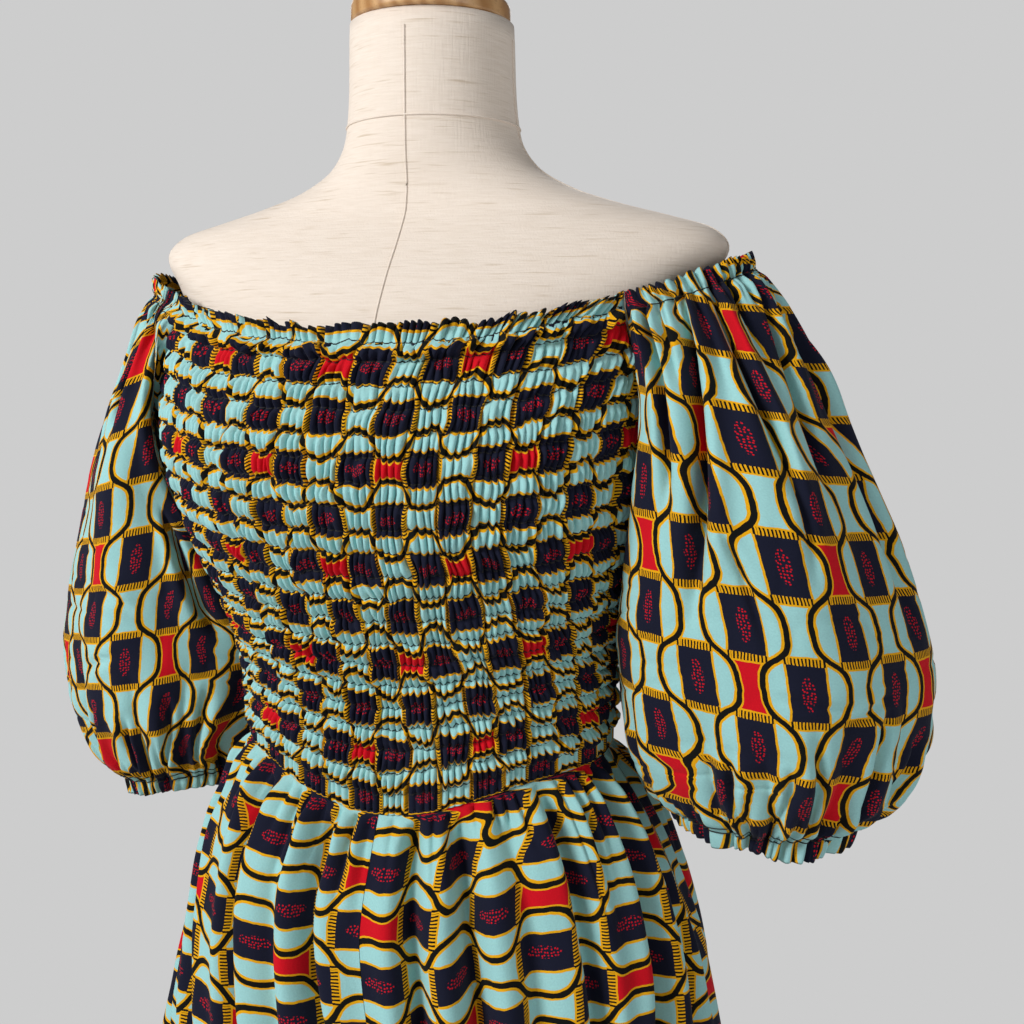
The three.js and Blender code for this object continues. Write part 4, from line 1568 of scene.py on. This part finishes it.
    def clear_of_body(self, place: Array, distance: Array) -> Array:
        """Moves points out to a distance from the plain bodice and legs.

        Args:
            place: points on the wearer's left.
            distance: for each point.

        Returns:
            The moved points.
        """
        z = place[..., 2]
        for sections, level in ((FIGURE.bodice, z >= FIGURE.waist_z), (FIGURE.legs, z < FIGURE.waist_z)):
            wide, deep = sections.at("wide", z) + distance, sections.at("deep", z) + distance
            lean = self.side.value * sections.at("lean", z)
            back = sections.at("back", z)
            power = sections.at("power", z) if sections is FIGURE.bodice else np.full_like(z, 2.0)
            aside = np.abs((place[..., 0] - lean) / wide) ** power
            ahead = np.abs((place[..., 1] - back) / deep) ** power
            reach = (aside + ahead) ** (1.0 / power)
            scale = np.where(level & (reach < 1.0), 1.0 / np.maximum(reach, 0.5), 1.0)
            x = lean + (place[..., 0] - lean) * scale
            y = back + (place[..., 1] - back) * scale
            place = np.stack([x, y, z], -1)
        return place


@dataclass
class LegPanel:
    """The front or back of a wide leg, gathered into the waist seam."""

    side: Side
    face: Face
    cloth: bpy.types.Material
    seed: int
    print_start_mm: tuple[float, float]
    folds: tuple[tuple[float, float, float, float, float], ...]
    columns: int = 200
    rows: int = 160
    hem_z: float = 60.0
    crotch_z: float = 745.0
    crotch_curve_mm: float = 110.0
    roundness: float = 0.92
    crowding: float = 1.7
    gathers: int = 17
    flat_width_mm: tuple[float, float] = (300.0, 600.0)
    turned_in_mm: float = 1.5
    seam_shift_mm: float = 32.0  # the centre seam is pushed aside, so that the pole runs down one leg
    seam_shift_z: float = 980.0
    seam_shift_over: float = 200.0
    fine_mm: float = 4.2
    deepened: float = 1.3

    def build(self) -> None:
        """Makes the panel."""
        name = f"leg_{self.side.name.lower()}_{self.face.name.lower()}"
        waves = Waves(self.seed)
        down = (np.linspace(0.0, 1.0, self.rows) ** self.crowding)[:, None]
        across = np.linspace(0.0, 1.0, self.columns + 1)[None, :]
        points = self.points(down, across, waves)
        spread = laid_cut(points, self.relief(down, across, waves), mix(*self.flat_width_mm, down))
        along = walked(self.points(down, across, None), 0)
        inside = np.stack([mix(points[-1], points[-2], 0.1), points[-2]])
        level = inside - inside.mean(axis=1, keepdims=True) * (1.0, 0.0, 0.0)
        level[..., 2] = 0.0
        hem_in = inside - self.turned_in_mm * level / np.linalg.norm(level, axis=-1, keepdims=True)
        points = np.concatenate([points, hem_in])
        along = np.concatenate([along, along[-1:] + 1.0, along[-1:] + 11.0])
        spread = np.concatenate([spread, spread[[-1, -2]]])
        start_a, start_b = self.print_start_mm
        cut = np.stack([start_a + along, start_b + self.side.value * spread], -1)
        outward = np.array([0.0, float(self.face.value), 0.0])
        piece = sheet_object(f"{name}_cloth", points, cut, False, outward, self.cloth)
        settle(piece, "printed_cotton", name)
        area = 0.5 * (self.flat_width_mm[0] + self.flat_width_mm[1]) * MM
        flat = (self.flat_width_mm[1] * MM, 1.02)
        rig.sheet(piece, flat=flat, held="gathered", rests_on=["dress_form"], area=area)

    def points(self, down: Array, across: Array, waves: Waves | None) -> Array:
        """Lays the panel's points.

        Args:
            down: share of the way from the waist seam to the hem.
            across: from the centre seam or inseam at 0 to the side seam at 1.
            waves: the panel's own unevenness, or None for the plain panel.

        Returns:
            Points in millimetres.
        """
        down, across = np.broadcast_arrays(down, across)
        legs, side = FIGURE.legs, self.side.value
        level = mix(FIGURE.waist_z, self.hem_z, down)
        curve = ease((self.crotch_z + self.crotch_curve_mm - level) / self.crotch_curve_mm)
        start = mix(math.pi / 2, math.pi, curve)
        shift = side * self.seam_shift_mm * ease((self.seam_shift_z - level) / self.seam_shift_over)
        seam_x = shift + FIGURE.seam_gap / 2 + 1.2 * curve + legs.at("apart", level)
        outer_x = legs.at("wide", level) + side * legs.at("lean", level)
        radius = (outer_x - seam_x) / (1.0 - np.cos(start))
        centre = outer_x - radius
        angle = mix(start - 0.0018 * curve, 0.0018, across)
        out = self.relief(down, across, waves) if waves else np.zeros_like(level)
        x = centre + (radius + out) * np.cos(angle)
        turned = np.maximum(np.sin(angle), 0.0)
        y = self.face.value * (legs.at("deep", level) + out) * turned**self.roundness
        y = y + legs.at("back", level) * turned
        drape = 1.0 - ease(down / 0.12)
        z = level + (FIGURE.waist_seam_z(x, self.face) - FIGURE.waist_z - FIGURE.seam_gap / 2) * drape
        return np.stack([side * x, y, z], -1)

    def relief(self, down: Array, across: Array, waves: Waves) -> Array:
        """Works out the folds and gathers.

        Args:
            down: share of the way down.
            across: share of the way across.
            waves: the panel's own unevenness.

        Returns:
            Heights in millimetres.
        """
        begins = ease(down / 0.018)
        size = mix(185.0, self.flat_width_mm[1], down)
        wander = 0.012 * waves.at(down * 9.0, 3.0) + 0.006 * waves.at(across * 5.0, down * 12.0)
        troughs = np.zeros_like(down + across)
        for high, low, high_mm, low_mm, wide in self.folds:
            aside = (across + wander - mix(high, low, ease(down / 0.28))) * size
            wide = wide * mix(0.8, 2.5, down)
            deep = self.deepened * mix(high_mm, low_mm, ease(down * 3.0))
            lips = bump(aside - 2.1 * wide, 1.3 * wide) + bump(aside + 2.1 * wide, 1.3 * wide)
            troughs += deep * (0.25 * lips)
            troughs -= deep * bump(aside, wide)
        gathers = across * self.gathers
        reach = 0.055 + 0.045 * waves.at(gathers * 0.9, 21.0)
        phase = gathers + 0.5 * waves.at(gathers * 0.5, down * 9.0)
        fine = self.fine_mm * (flutes(phase) - 0.3) * (0.8 + 0.5 * waves.at(gathers * 0.5 + 9, 2.0))
        fine = fine * ease(down / 0.006) * (1.0 - ease((down - 0.008) / reach))
        slack = waves.at(across * 9.0 + 30, down * 34.0)
        slack = slack + 1.4 * waves.at(across * 4.0, down * 11.0 + 40)
        seams = ease(across / 0.05) * ease((1.0 - across) / 0.05)
        return ((troughs + slack + 2.0) * begins + fine) * seams


# --------------------------------------------------------------------------------------------------
# The dress form, its stand and the studio
# --------------------------------------------------------------------------------------------------


@dataclass
class DressForm:
    """A limbless torso with a linen cover sewn from four panels, and a turned cap on its neck."""

    linen: bpy.types.Material
    beech: bpy.types.Material
    columns: int = 144
    rows: int = 130
    seam_mm: float = 0.7
    cap_z: float = 1506.3
    cap_radius: float = 50.0
    sections: Sections = field(
        default_factory=lambda: Sections(
            "wide deep back lean power",
            (835, 148, 99, 6, 0, 2.3),
            (842, 156, 106, 6, 0, 2.3),
            (880, 160, 109, 6, 0, 2.3),
            (930, 150, 104, 5, 0, 2.25),
            (985, 124, 92, 2, 0, 2.2),
            (1050, 110, 83, 0, 0, 2.2),
            (1100, 113, 87, -1, 0, 2.2),
            (1140, 118, 93, -4, 0, 2.2),
            (1180, 126, 99, -7, 0, 2.2),
            (1215, 134, 103, -9, 0, 2.2),
            (1255, 141, 103, -9, 0, 2.25),
            (1290, 149, 99, -6, 0, 2.3),
            (1320, 159, 93, -1, 0, 2.3),
            (1345, 174, 82, 4, 0, 2.35),
            (1366, 188, 69, 8, 0, 2.35),
            (1379, 178, 60, 9, 0, 2.3),
            (1387, 152, 56, 10, 0, 2.25),
            (1395, 122, 54, 10, 0, 2.2),
            (1405, 92, 53, 10, 0, 2.1),
            (1419, 68, 53, 8, 0, 2),
            (1441, 56, 51, 5, 0, 2),
            (1506, 52, 49, 2, 0, 2),
        )
    )

    def build(self) -> None:
        """Makes the torso, its seams and the cap."""
        knots = self.sections.heights
        crowded = np.interp(np.linspace(0, len(knots) - 1, self.rows), np.arange(len(knots)), knots)
        angle = np.arange(self.columns) * math.tau / self.columns
        torso = self.sections.oval(angle[None, :], crowded[:, None])
        ends = [self.closed_end(torso[0], 1), self.closed_end(torso[-1], -1)]
        points = np.concatenate([ends[0], torso, ends[1]])
        quads = grid_quads(len(points), self.columns, True)[:, ::-1]
        piece = mesh_object("dress_form", points.reshape(-1, 3), quads, self.linen)
        settle(piece, "linen_cover", "form_torso")
        upright = crowded[(crowded > 845.0) & (crowded < 1500.0)]
        oval, level = self.sections.oval, np.linspace(0.0, math.tau, 121)
        paths = [oval(np.full_like(upright, quarter), upright, 0.2) for quarter in self.quarters()]
        paths += [oval(level, np.full_like(level, z), 0.2) for z in (1444.0, 845.0)]
        seams = cord_mesh("dress_form_seams", paths, self.seam_mm, 6, self.linen)
        settle(seams, "linen_cover")
        turned = Turned(self.beech)
        r, z = self.cap_radius, self.cap_z
        profile = [(0, 0), (r - 2, 0), (r - 0.4, 0.6), (r, 2), (r, 9), (r - 0.6, 11.5), (r - 3, 13.5)]
        profile += [(r - 8, 14.2), (22, 15.4), (12, 15.2), (7.6, 15.4), (6.2, 17), (6.0, 19), (7.4, 21.4)]
        profile += [(10.6, 23.4), (12, 26.5), (11.6, 30.4), (9.4, 34), (5, 35.8), (0, 36)]
        cap = turned.piece("neck_cap", [(a, z + b) for a, b in profile])
        settle(cap, "turned_wood", "form_neck_cap")

    @staticmethod
    def quarters() -> tuple[float, ...]:
        """Angles of the cover's centre and side seams."""
        return (-math.pi / 2, 0.0, math.pi / 2, math.pi)

    @staticmethod
    def closed_end(ring: Array, way: int) -> Array:
        """Draws a ring in to its middle.

        Args:
            ring: the last ring of the side.
            way: 1 to go from the middle to the ring and -1 from the ring to the middle.

        Returns:
            Smaller rings at the same height.
        """
        middle = ring.mean(axis=0)
        shares = np.array([0.001, 0.5, 0.9, 0.985])[::way, None, None]
        return middle + (ring - middle) * shares


@dataclass
class Turned:
    """Round parts, each made from the line of its side."""

    material: bpy.types.Material
    sides: int = 96

    def piece(self, name: str, profile: list[tuple[float, float]]) -> bpy.types.Object:
        """Makes one part.

        Args:
            name: what it is called.
            profile: radius and height of each corner of its side, from the bottom up.

        Returns:
            The part.
        """
        angle = np.arange(self.sides) * math.tau / self.sides
        line = np.array([(max(radius, 0.01), z) for radius, z in profile])
        radius, height = line[:, :1], line[:, 1:]
        points = np.stack(
            [radius * np.cos(angle), radius * np.sin(angle), height + np.zeros_like(angle)[None, :]], axis=-1
        )
        quads = grid_quads(len(line), self.sides, True)[:, ::-1]
        return mesh_object(name, points.reshape(-1, 3), quads, self.material)


@dataclass
class Stand:
    """A steel tube on a round steel plate, with a collar at the foot and a flange under the torso."""

    steel: bpy.types.Material
    base_radius: float = 190.0
    base_height: float = 7.0
    pole_radius: float = 12.5
    pole_bottom: float = 41.3
    pole_top: float = 834.7
    flange_radius: float = 45.0

    def build(self) -> None:
        """Makes the plate with its collar, and the tube with its flange."""
        turned = Turned(self.steel)
        r, h = self.base_radius, self.base_height
        plate = [(0, 0), (r - 2, 0), (r - 0.6, 0.6), (r, 2), (r, h - 3.4), (r - 0.8, h - 1.4)]
        plate += [(r - 3, h - 0.4), (r - 6, h), (60, h + 1.6), (30, h + 3), (26.4, h + 4.6), (24.4, h + 8)]
        plate += [(24, h + 12), (22, h + 30), (21.4, h + 32.6), (20.2, h + 33.8), (18.6, h + 34)]
        plate += [(0, h + 34)]
        settle(turned.piece("stand_base_plate", plate), "painted_steel", "stand_base")
        p, f, low, top = self.pole_radius, self.flange_radius, self.pole_bottom, self.pole_top
        tube = [(0, low), (p, low), (p, top - 30), (p + 0.6, top - 29), (p + 6, top - 6.4)]
        tube += [(p + 7.5, top - 6), (f - 1, top - 6), (f, top - 5), (f, top), (0, top)]
        settle(turned.piece("stand_tube", tube), "painted_steel", "stand_pole")


@dataclass
class Studio:
    """A pale floor, plain pale walls, soft lights and the camera."""

    walls: str = "cdcdcd"
    dim: str = "646464"
    floor_rings_mm: tuple[float, ...] = (1.0, 300.0, 1200.0, 1900.0, 8000.0, 30000.0)
    floor_sides: int = 96
    floor_z: float = -0.4
    camera_mm: tuple[float, float, float] = (267.3, -735.5, 1291.8)
    azimuth: float = math.radians(16.06)
    elevation: float = math.radians(6.73)
    roll: float = math.radians(-0.47)
    lens_mm: float = 41.94

    def build(self) -> None:
        """Makes everything that isn't part of the object."""
        scene = bpy.context.scene
        scene.view_settings.view_transform = "Standard"
        scene.view_settings.look = "None"
        world = bpy.data.worlds.new("pale_walls")
        world.use_nodes = True
        tree = world.node_tree
        seen = add_node(tree, "ShaderNodeLightPath").part("Is Camera Ray")
        shades = linear(self.dim), linear(self.walls)
        colour = add_node(tree, "ShaderNodeMix", seen, *shades, data_type="RGBA")
        tree.links.new(colour.socket, tree.nodes["Background"].inputs["Color"])
        scene.world = world
        rings = np.array(self.floor_rings_mm)
        angle = np.arange(self.floor_sides) * math.tau / self.floor_sides
        x, y = np.outer(rings, np.cos(angle)), np.outer(rings, np.sin(angle))
        points = np.stack([x, y, np.full_like(x, self.floor_z)], -1).reshape(-1, 3)
        quads = grid_quads(len(rings), self.floor_sides, True)
        floor = mesh_object("pale_floor", points, quads, StudioFloor().build(linear(self.walls)))
        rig.stage(floor)
        self.light("softbox_front", (-1300, -1700, 2300), (0, 0, 1150), 850, 54.0)
        self.light("softbox_side", (1900, -1100, 1700), (0, 0, 1100), 1100, 8.0)
        self.light("softbox_back", (-700, 1900, 2200), (0, 0, 1150), 1300, 11.0)
        self.camera()

    @staticmethod
    def light(
        name: str, place: tuple[float, ...], aim: tuple[float, ...], size: float, watts: float
    ) -> None:
        """Hangs a square softbox.

        Args:
            name: what it is called.
            place: of its middle, in millimetres.
            aim: what it faces, in millimetres.
            size: of its side, in millimetres.
            watts: its power.
        """
        data = bpy.data.lights.new(name, "AREA")
        data.size = size * MM
        data.energy = watts
        lamp = bpy.data.objects.new(name, data)
        lamp.location = Vector(place) * MM
        lamp.rotation_euler = (Vector(aim) - Vector(place)).to_track_quat("-Z", "Y").to_euler()
        bpy.context.scene.collection.objects.link(lamp)

    def camera(self) -> None:
        """Stands the camera at the height of the bust, a little to the wearer's left."""
        az, el = self.azimuth, self.elevation
        right = Vector((math.cos(az), math.sin(az), 0.0))
        ahead = Vector((-math.sin(az) * math.cos(el), math.cos(az) * math.cos(el), -math.sin(el)))
        up = right.cross(ahead)
        facing = Matrix((right, up, -ahead)).transposed().to_4x4()
        data = bpy.data.cameras.new("camera")
        data.lens = self.lens_mm
        camera = bpy.data.objects.new("camera", data)
        place = Matrix.Translation(Vector(self.camera_mm) * MM)
        camera.matrix_world = place @ facing @ Matrix.Rotation(-self.roll, 4, "Z")
        bpy.context.scene.collection.objects.link(camera)
        bpy.context.scene.camera = camera


# Sections of each sleeve: distances from the origin to its side next to the bodice, its outer side, its
# front and its back.
LEFT_SLEEVE = Sections(
    "inner outer front back",
    (1366, 118, 201, -62, 78),
    (1313, 132, 230, -84, 90),
    (1250, 136, 259, -92, 94),
    (1180, 132, 291, -90, 97),
    (1120, 130, 311, -84, 98),
    (1075, 136, 310, -74, 92),
    (1045, 143, 302, -64, 85),
    (1026, 154, 291, -54, 77),
    (1016, 163, 278, -45, 70),
    (1008, 167, 271, -40, 65),
)
RIGHT_SLEEVE = Sections(
    "inner outer front back",
    (1366, 118, 201, -62, 78),
    (1313, 136, 215, -66, 92),
    (1250, 142, 235, -62, 103),
    (1175, 130, 266, -52, 110),
    (1105, 126, 289, -44, 114),
    (1052, 132, 286, -36, 110),
    (1022, 143, 275, -26, 101),
    (1000, 151, 264, -17, 93),
    (989, 160, 253, -8, 86),
    (980, 163, 248, -5, 82),
)
# The sleeves' folds: both ends as shares round and down the sleeve, half width and depth.
LEFT_SLEEVE_FOLDS = (
    Fold((0.275, 0.03), (0.185, 0.56), 7.5, 13.0),
    Fold((0.335, 0.04), (0.325, 0.36), 6.9, 12.0),
    Fold((0.345, 0.22), (0.325, 0.50), 5.0, 5.2),
    Fold((0.430, 0.04), (0.390, 0.38), 7.5, 12.0),
    Fold((0.485, 0.10), (0.445, 0.62), 8.0, 10.0),
    Fold((0.215, 0.02), (0.170, 0.34), 5.8, 11.0),
    Fold((0.235, 0.40), (0.275, 0.66), 5.0, 3.3),
    Fold((0.270, 0.69), (0.350, 0.71), 4.0, 2.7),
    Fold((0.330, 0.74), (0.400, 0.70), 4.0, 2.4),
    Fold((0.310, 0.95), (0.305, 0.74), 5.0, 6.8),
    Fold((0.380, 0.95), (0.385, 0.72), 5.5, 6.0),
    Fold((0.275, 0.95), (0.280, 0.80), 4.5, 6.0),
    Fold((0.430, 0.95), (0.445, 0.78), 6.0, 6.8),
    Fold((0.230, 0.95), (0.215, 0.79), 5.0, 6.8),
    Fold((0.560, 0.04), (0.585, 0.42), 7.5, 12.0),
    Fold((0.640, 0.04), (0.665, 0.55), 8.0, 13.0),
    Fold((0.720, 0.03), (0.700, 0.34), 6.9, 11.0),
    Fold((0.790, 0.03), (0.830, 0.50), 6.9, 12.0),
    Fold((0.540, 0.95), (0.530, 0.76), 5.5, 6.8),
    Fold((0.660, 0.95), (0.675, 0.72), 6.0, 6.8),
    Fold((0.780, 0.95), (0.770, 0.80), 5.0, 6.0),
    Fold((0.600, 0.62), (0.680, 0.66), 4.5, 3.0),
)
RIGHT_SLEEVE_FOLDS = (
    Fold((0.235, 0.02), (0.165, 0.36), 7.5, 13.0),
    Fold((0.160, 0.06), (0.100, 0.30), 6.9, 11.0),
    Fold((0.300, 0.03), (0.310, 0.26), 6.9, 10.0),
    Fold((0.380, 0.04), (0.370, 0.32), 7.5, 11.0),
    Fold((0.450, 0.05), (0.455, 0.48), 8.0, 10.0),
    Fold((0.185, 0.42), (0.120, 0.62), 6.9, 11.0),
    Fold((0.230, 0.60), (0.300, 0.56), 4.5, 2.7),
    Fold((0.250, 0.70), (0.320, 0.73), 4.0, 2.4),
    Fold((0.200, 0.95), (0.190, 0.78), 5.0, 6.8),
    Fold((0.260, 0.95), (0.250, 0.82), 4.5, 6.0),
    Fold((0.150, 0.95), (0.140, 0.75), 5.5, 6.8),
    Fold((0.330, 0.95), (0.320, 0.80), 5.0, 6.8),
    Fold((0.410, 0.95), (0.425, 0.77), 6.0, 6.8),
    Fold((0.545, 0.04), (0.530, 0.44), 7.5, 12.0),
    Fold((0.620, 0.03), (0.650, 0.50), 8.0, 13.0),
    Fold((0.710, 0.04), (0.690, 0.30), 6.9, 11.0),
    Fold((0.780, 0.03), (0.810, 0.46), 6.9, 12.0),
    Fold((0.520, 0.95), (0.535, 0.74), 5.5, 6.8),
    Fold((0.640, 0.95), (0.630, 0.78), 6.0, 6.8),
    Fold((0.760, 0.95), (0.775, 0.76), 5.0, 6.0),
    Fold((0.560, 0.66), (0.640, 0.62), 4.5, 3.0),
)
# A leg panel's troughs: place at the waist and lower down, from the centre (0) to the side seam (1), depth
# at both, and half width.
LEG_FOLDS = {
    (Side.LEFT, Face.FRONT): (
        (0.115, 0.107, 11.2, 16.8, 6.2),
        (0.260, 0.233, 11.2, 16.8, 6.2),
        (0.400, 0.353, 3.8, 11.2, 6.6),
        (0.560, 0.493, 10, 12.6, 6.2),
        (0.807, 0.640, 11.2, 16.8, 6.6),
        (0.930, 0.830, 5, 12.6, 7.6),
    ),
    (Side.RIGHT, Face.FRONT): (
        (0.160, 0.080, 11.2, 16.8, 6.2),
        (0.280, 0.200, 3.8, 8.4, 6.6),
        (0.430, 0.310, 11.2, 15.4, 5.7),
        (0.760, 0.450, 10, 15.4, 6.2),
        (0.880, 0.680, 7.5, 14, 7.1),
        (0.970, 0.870, 3.8, 12.6, 7.6),
    ),
    (Side.LEFT, Face.BACK): (
        (0.100, 0.120, 10, 15.4, 6.2),
        (0.250, 0.220, 11.2, 16.8, 6.6),
        (0.380, 0.360, 5, 11.2, 7.6),
        (0.550, 0.500, 10, 15.4, 6.2),
        (0.720, 0.660, 11.2, 16.8, 6.6),
        (0.900, 0.840, 6.2, 12.6, 7.6),
    ),
    (Side.RIGHT, Face.BACK): (
        (0.140, 0.120, 10, 15.4, 6.6),
        (0.300, 0.270, 11.2, 16.8, 6.2),
        (0.460, 0.420, 6.2, 12.6, 7.6),
        (0.620, 0.560, 11.2, 16.8, 6.6),
        (0.780, 0.700, 8.8, 15.4, 6.2),
        (0.910, 0.870, 6.2, 12.6, 7.6),
    ),
}
# Where the print starts on a leg panel's flat cut: across the print's columns and along them.
LEG_PRINT_START_MM = {
    (Side.LEFT, Face.FRONT): (60.0, 24.0),
    (Side.RIGHT, Face.FRONT): (26.0, 106.0),
    (Side.LEFT, Face.BACK): (14.0, 50.0),
    (Side.RIGHT, Face.BACK): (45.0, 12.0),
}


def main() -> None:
    """Builds the dressed form, from the inside out, and reports each piece."""
    logging.basicConfig(level=logging.INFO, format="%(name)s %(message)s")
    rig.load()
    cad_box = [list(corner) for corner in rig.bounds()]
    cotton, elastic = WaxPrintedCotton().build(), ElasticThread().build()
    DressForm(LinenCover().build(), VarnishedBeech().build()).build()
    Stand(PowderCoatedSteel().build()).build()
    Bodice(cotton, elastic).build()
    Sleeve(
        Side.LEFT,
        cotton,
        elastic,
        LEFT_SLEEVE,
        LEFT_SLEEVE_FOLDS,
        tilt_mm=6.0,
        slipped_mm=0.0,
        seed=21,
        print_line=0.30,
        print_start_mm=(33.0, 12.0),
        print_lean=0.0,
    ).build()
    Sleeve(
        Side.RIGHT,
        cotton,
        elastic,
        RIGHT_SLEEVE,
        RIGHT_SLEEVE_FOLDS,
        tilt_mm=20.0,
        slipped_mm=8.0,
        seed=22,
        print_line=0.24,
        print_start_mm=(20.0, 2.0),
        print_lean=0.1,
    ).build()
    for number, (place, folds) in enumerate(LEG_FOLDS.items()):
        LegPanel(*place, cotton, 31 + number, LEG_PRINT_START_MM[place], folds).build()
    Studio().build()
    visual_box = [list(corner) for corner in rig.bounds()]
    with open("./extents.json", "w", encoding="utf-8") as report:
        json.dump({"cad": cad_box, "visual": visual_box}, report)


if __name__ == "__main__":
    main()
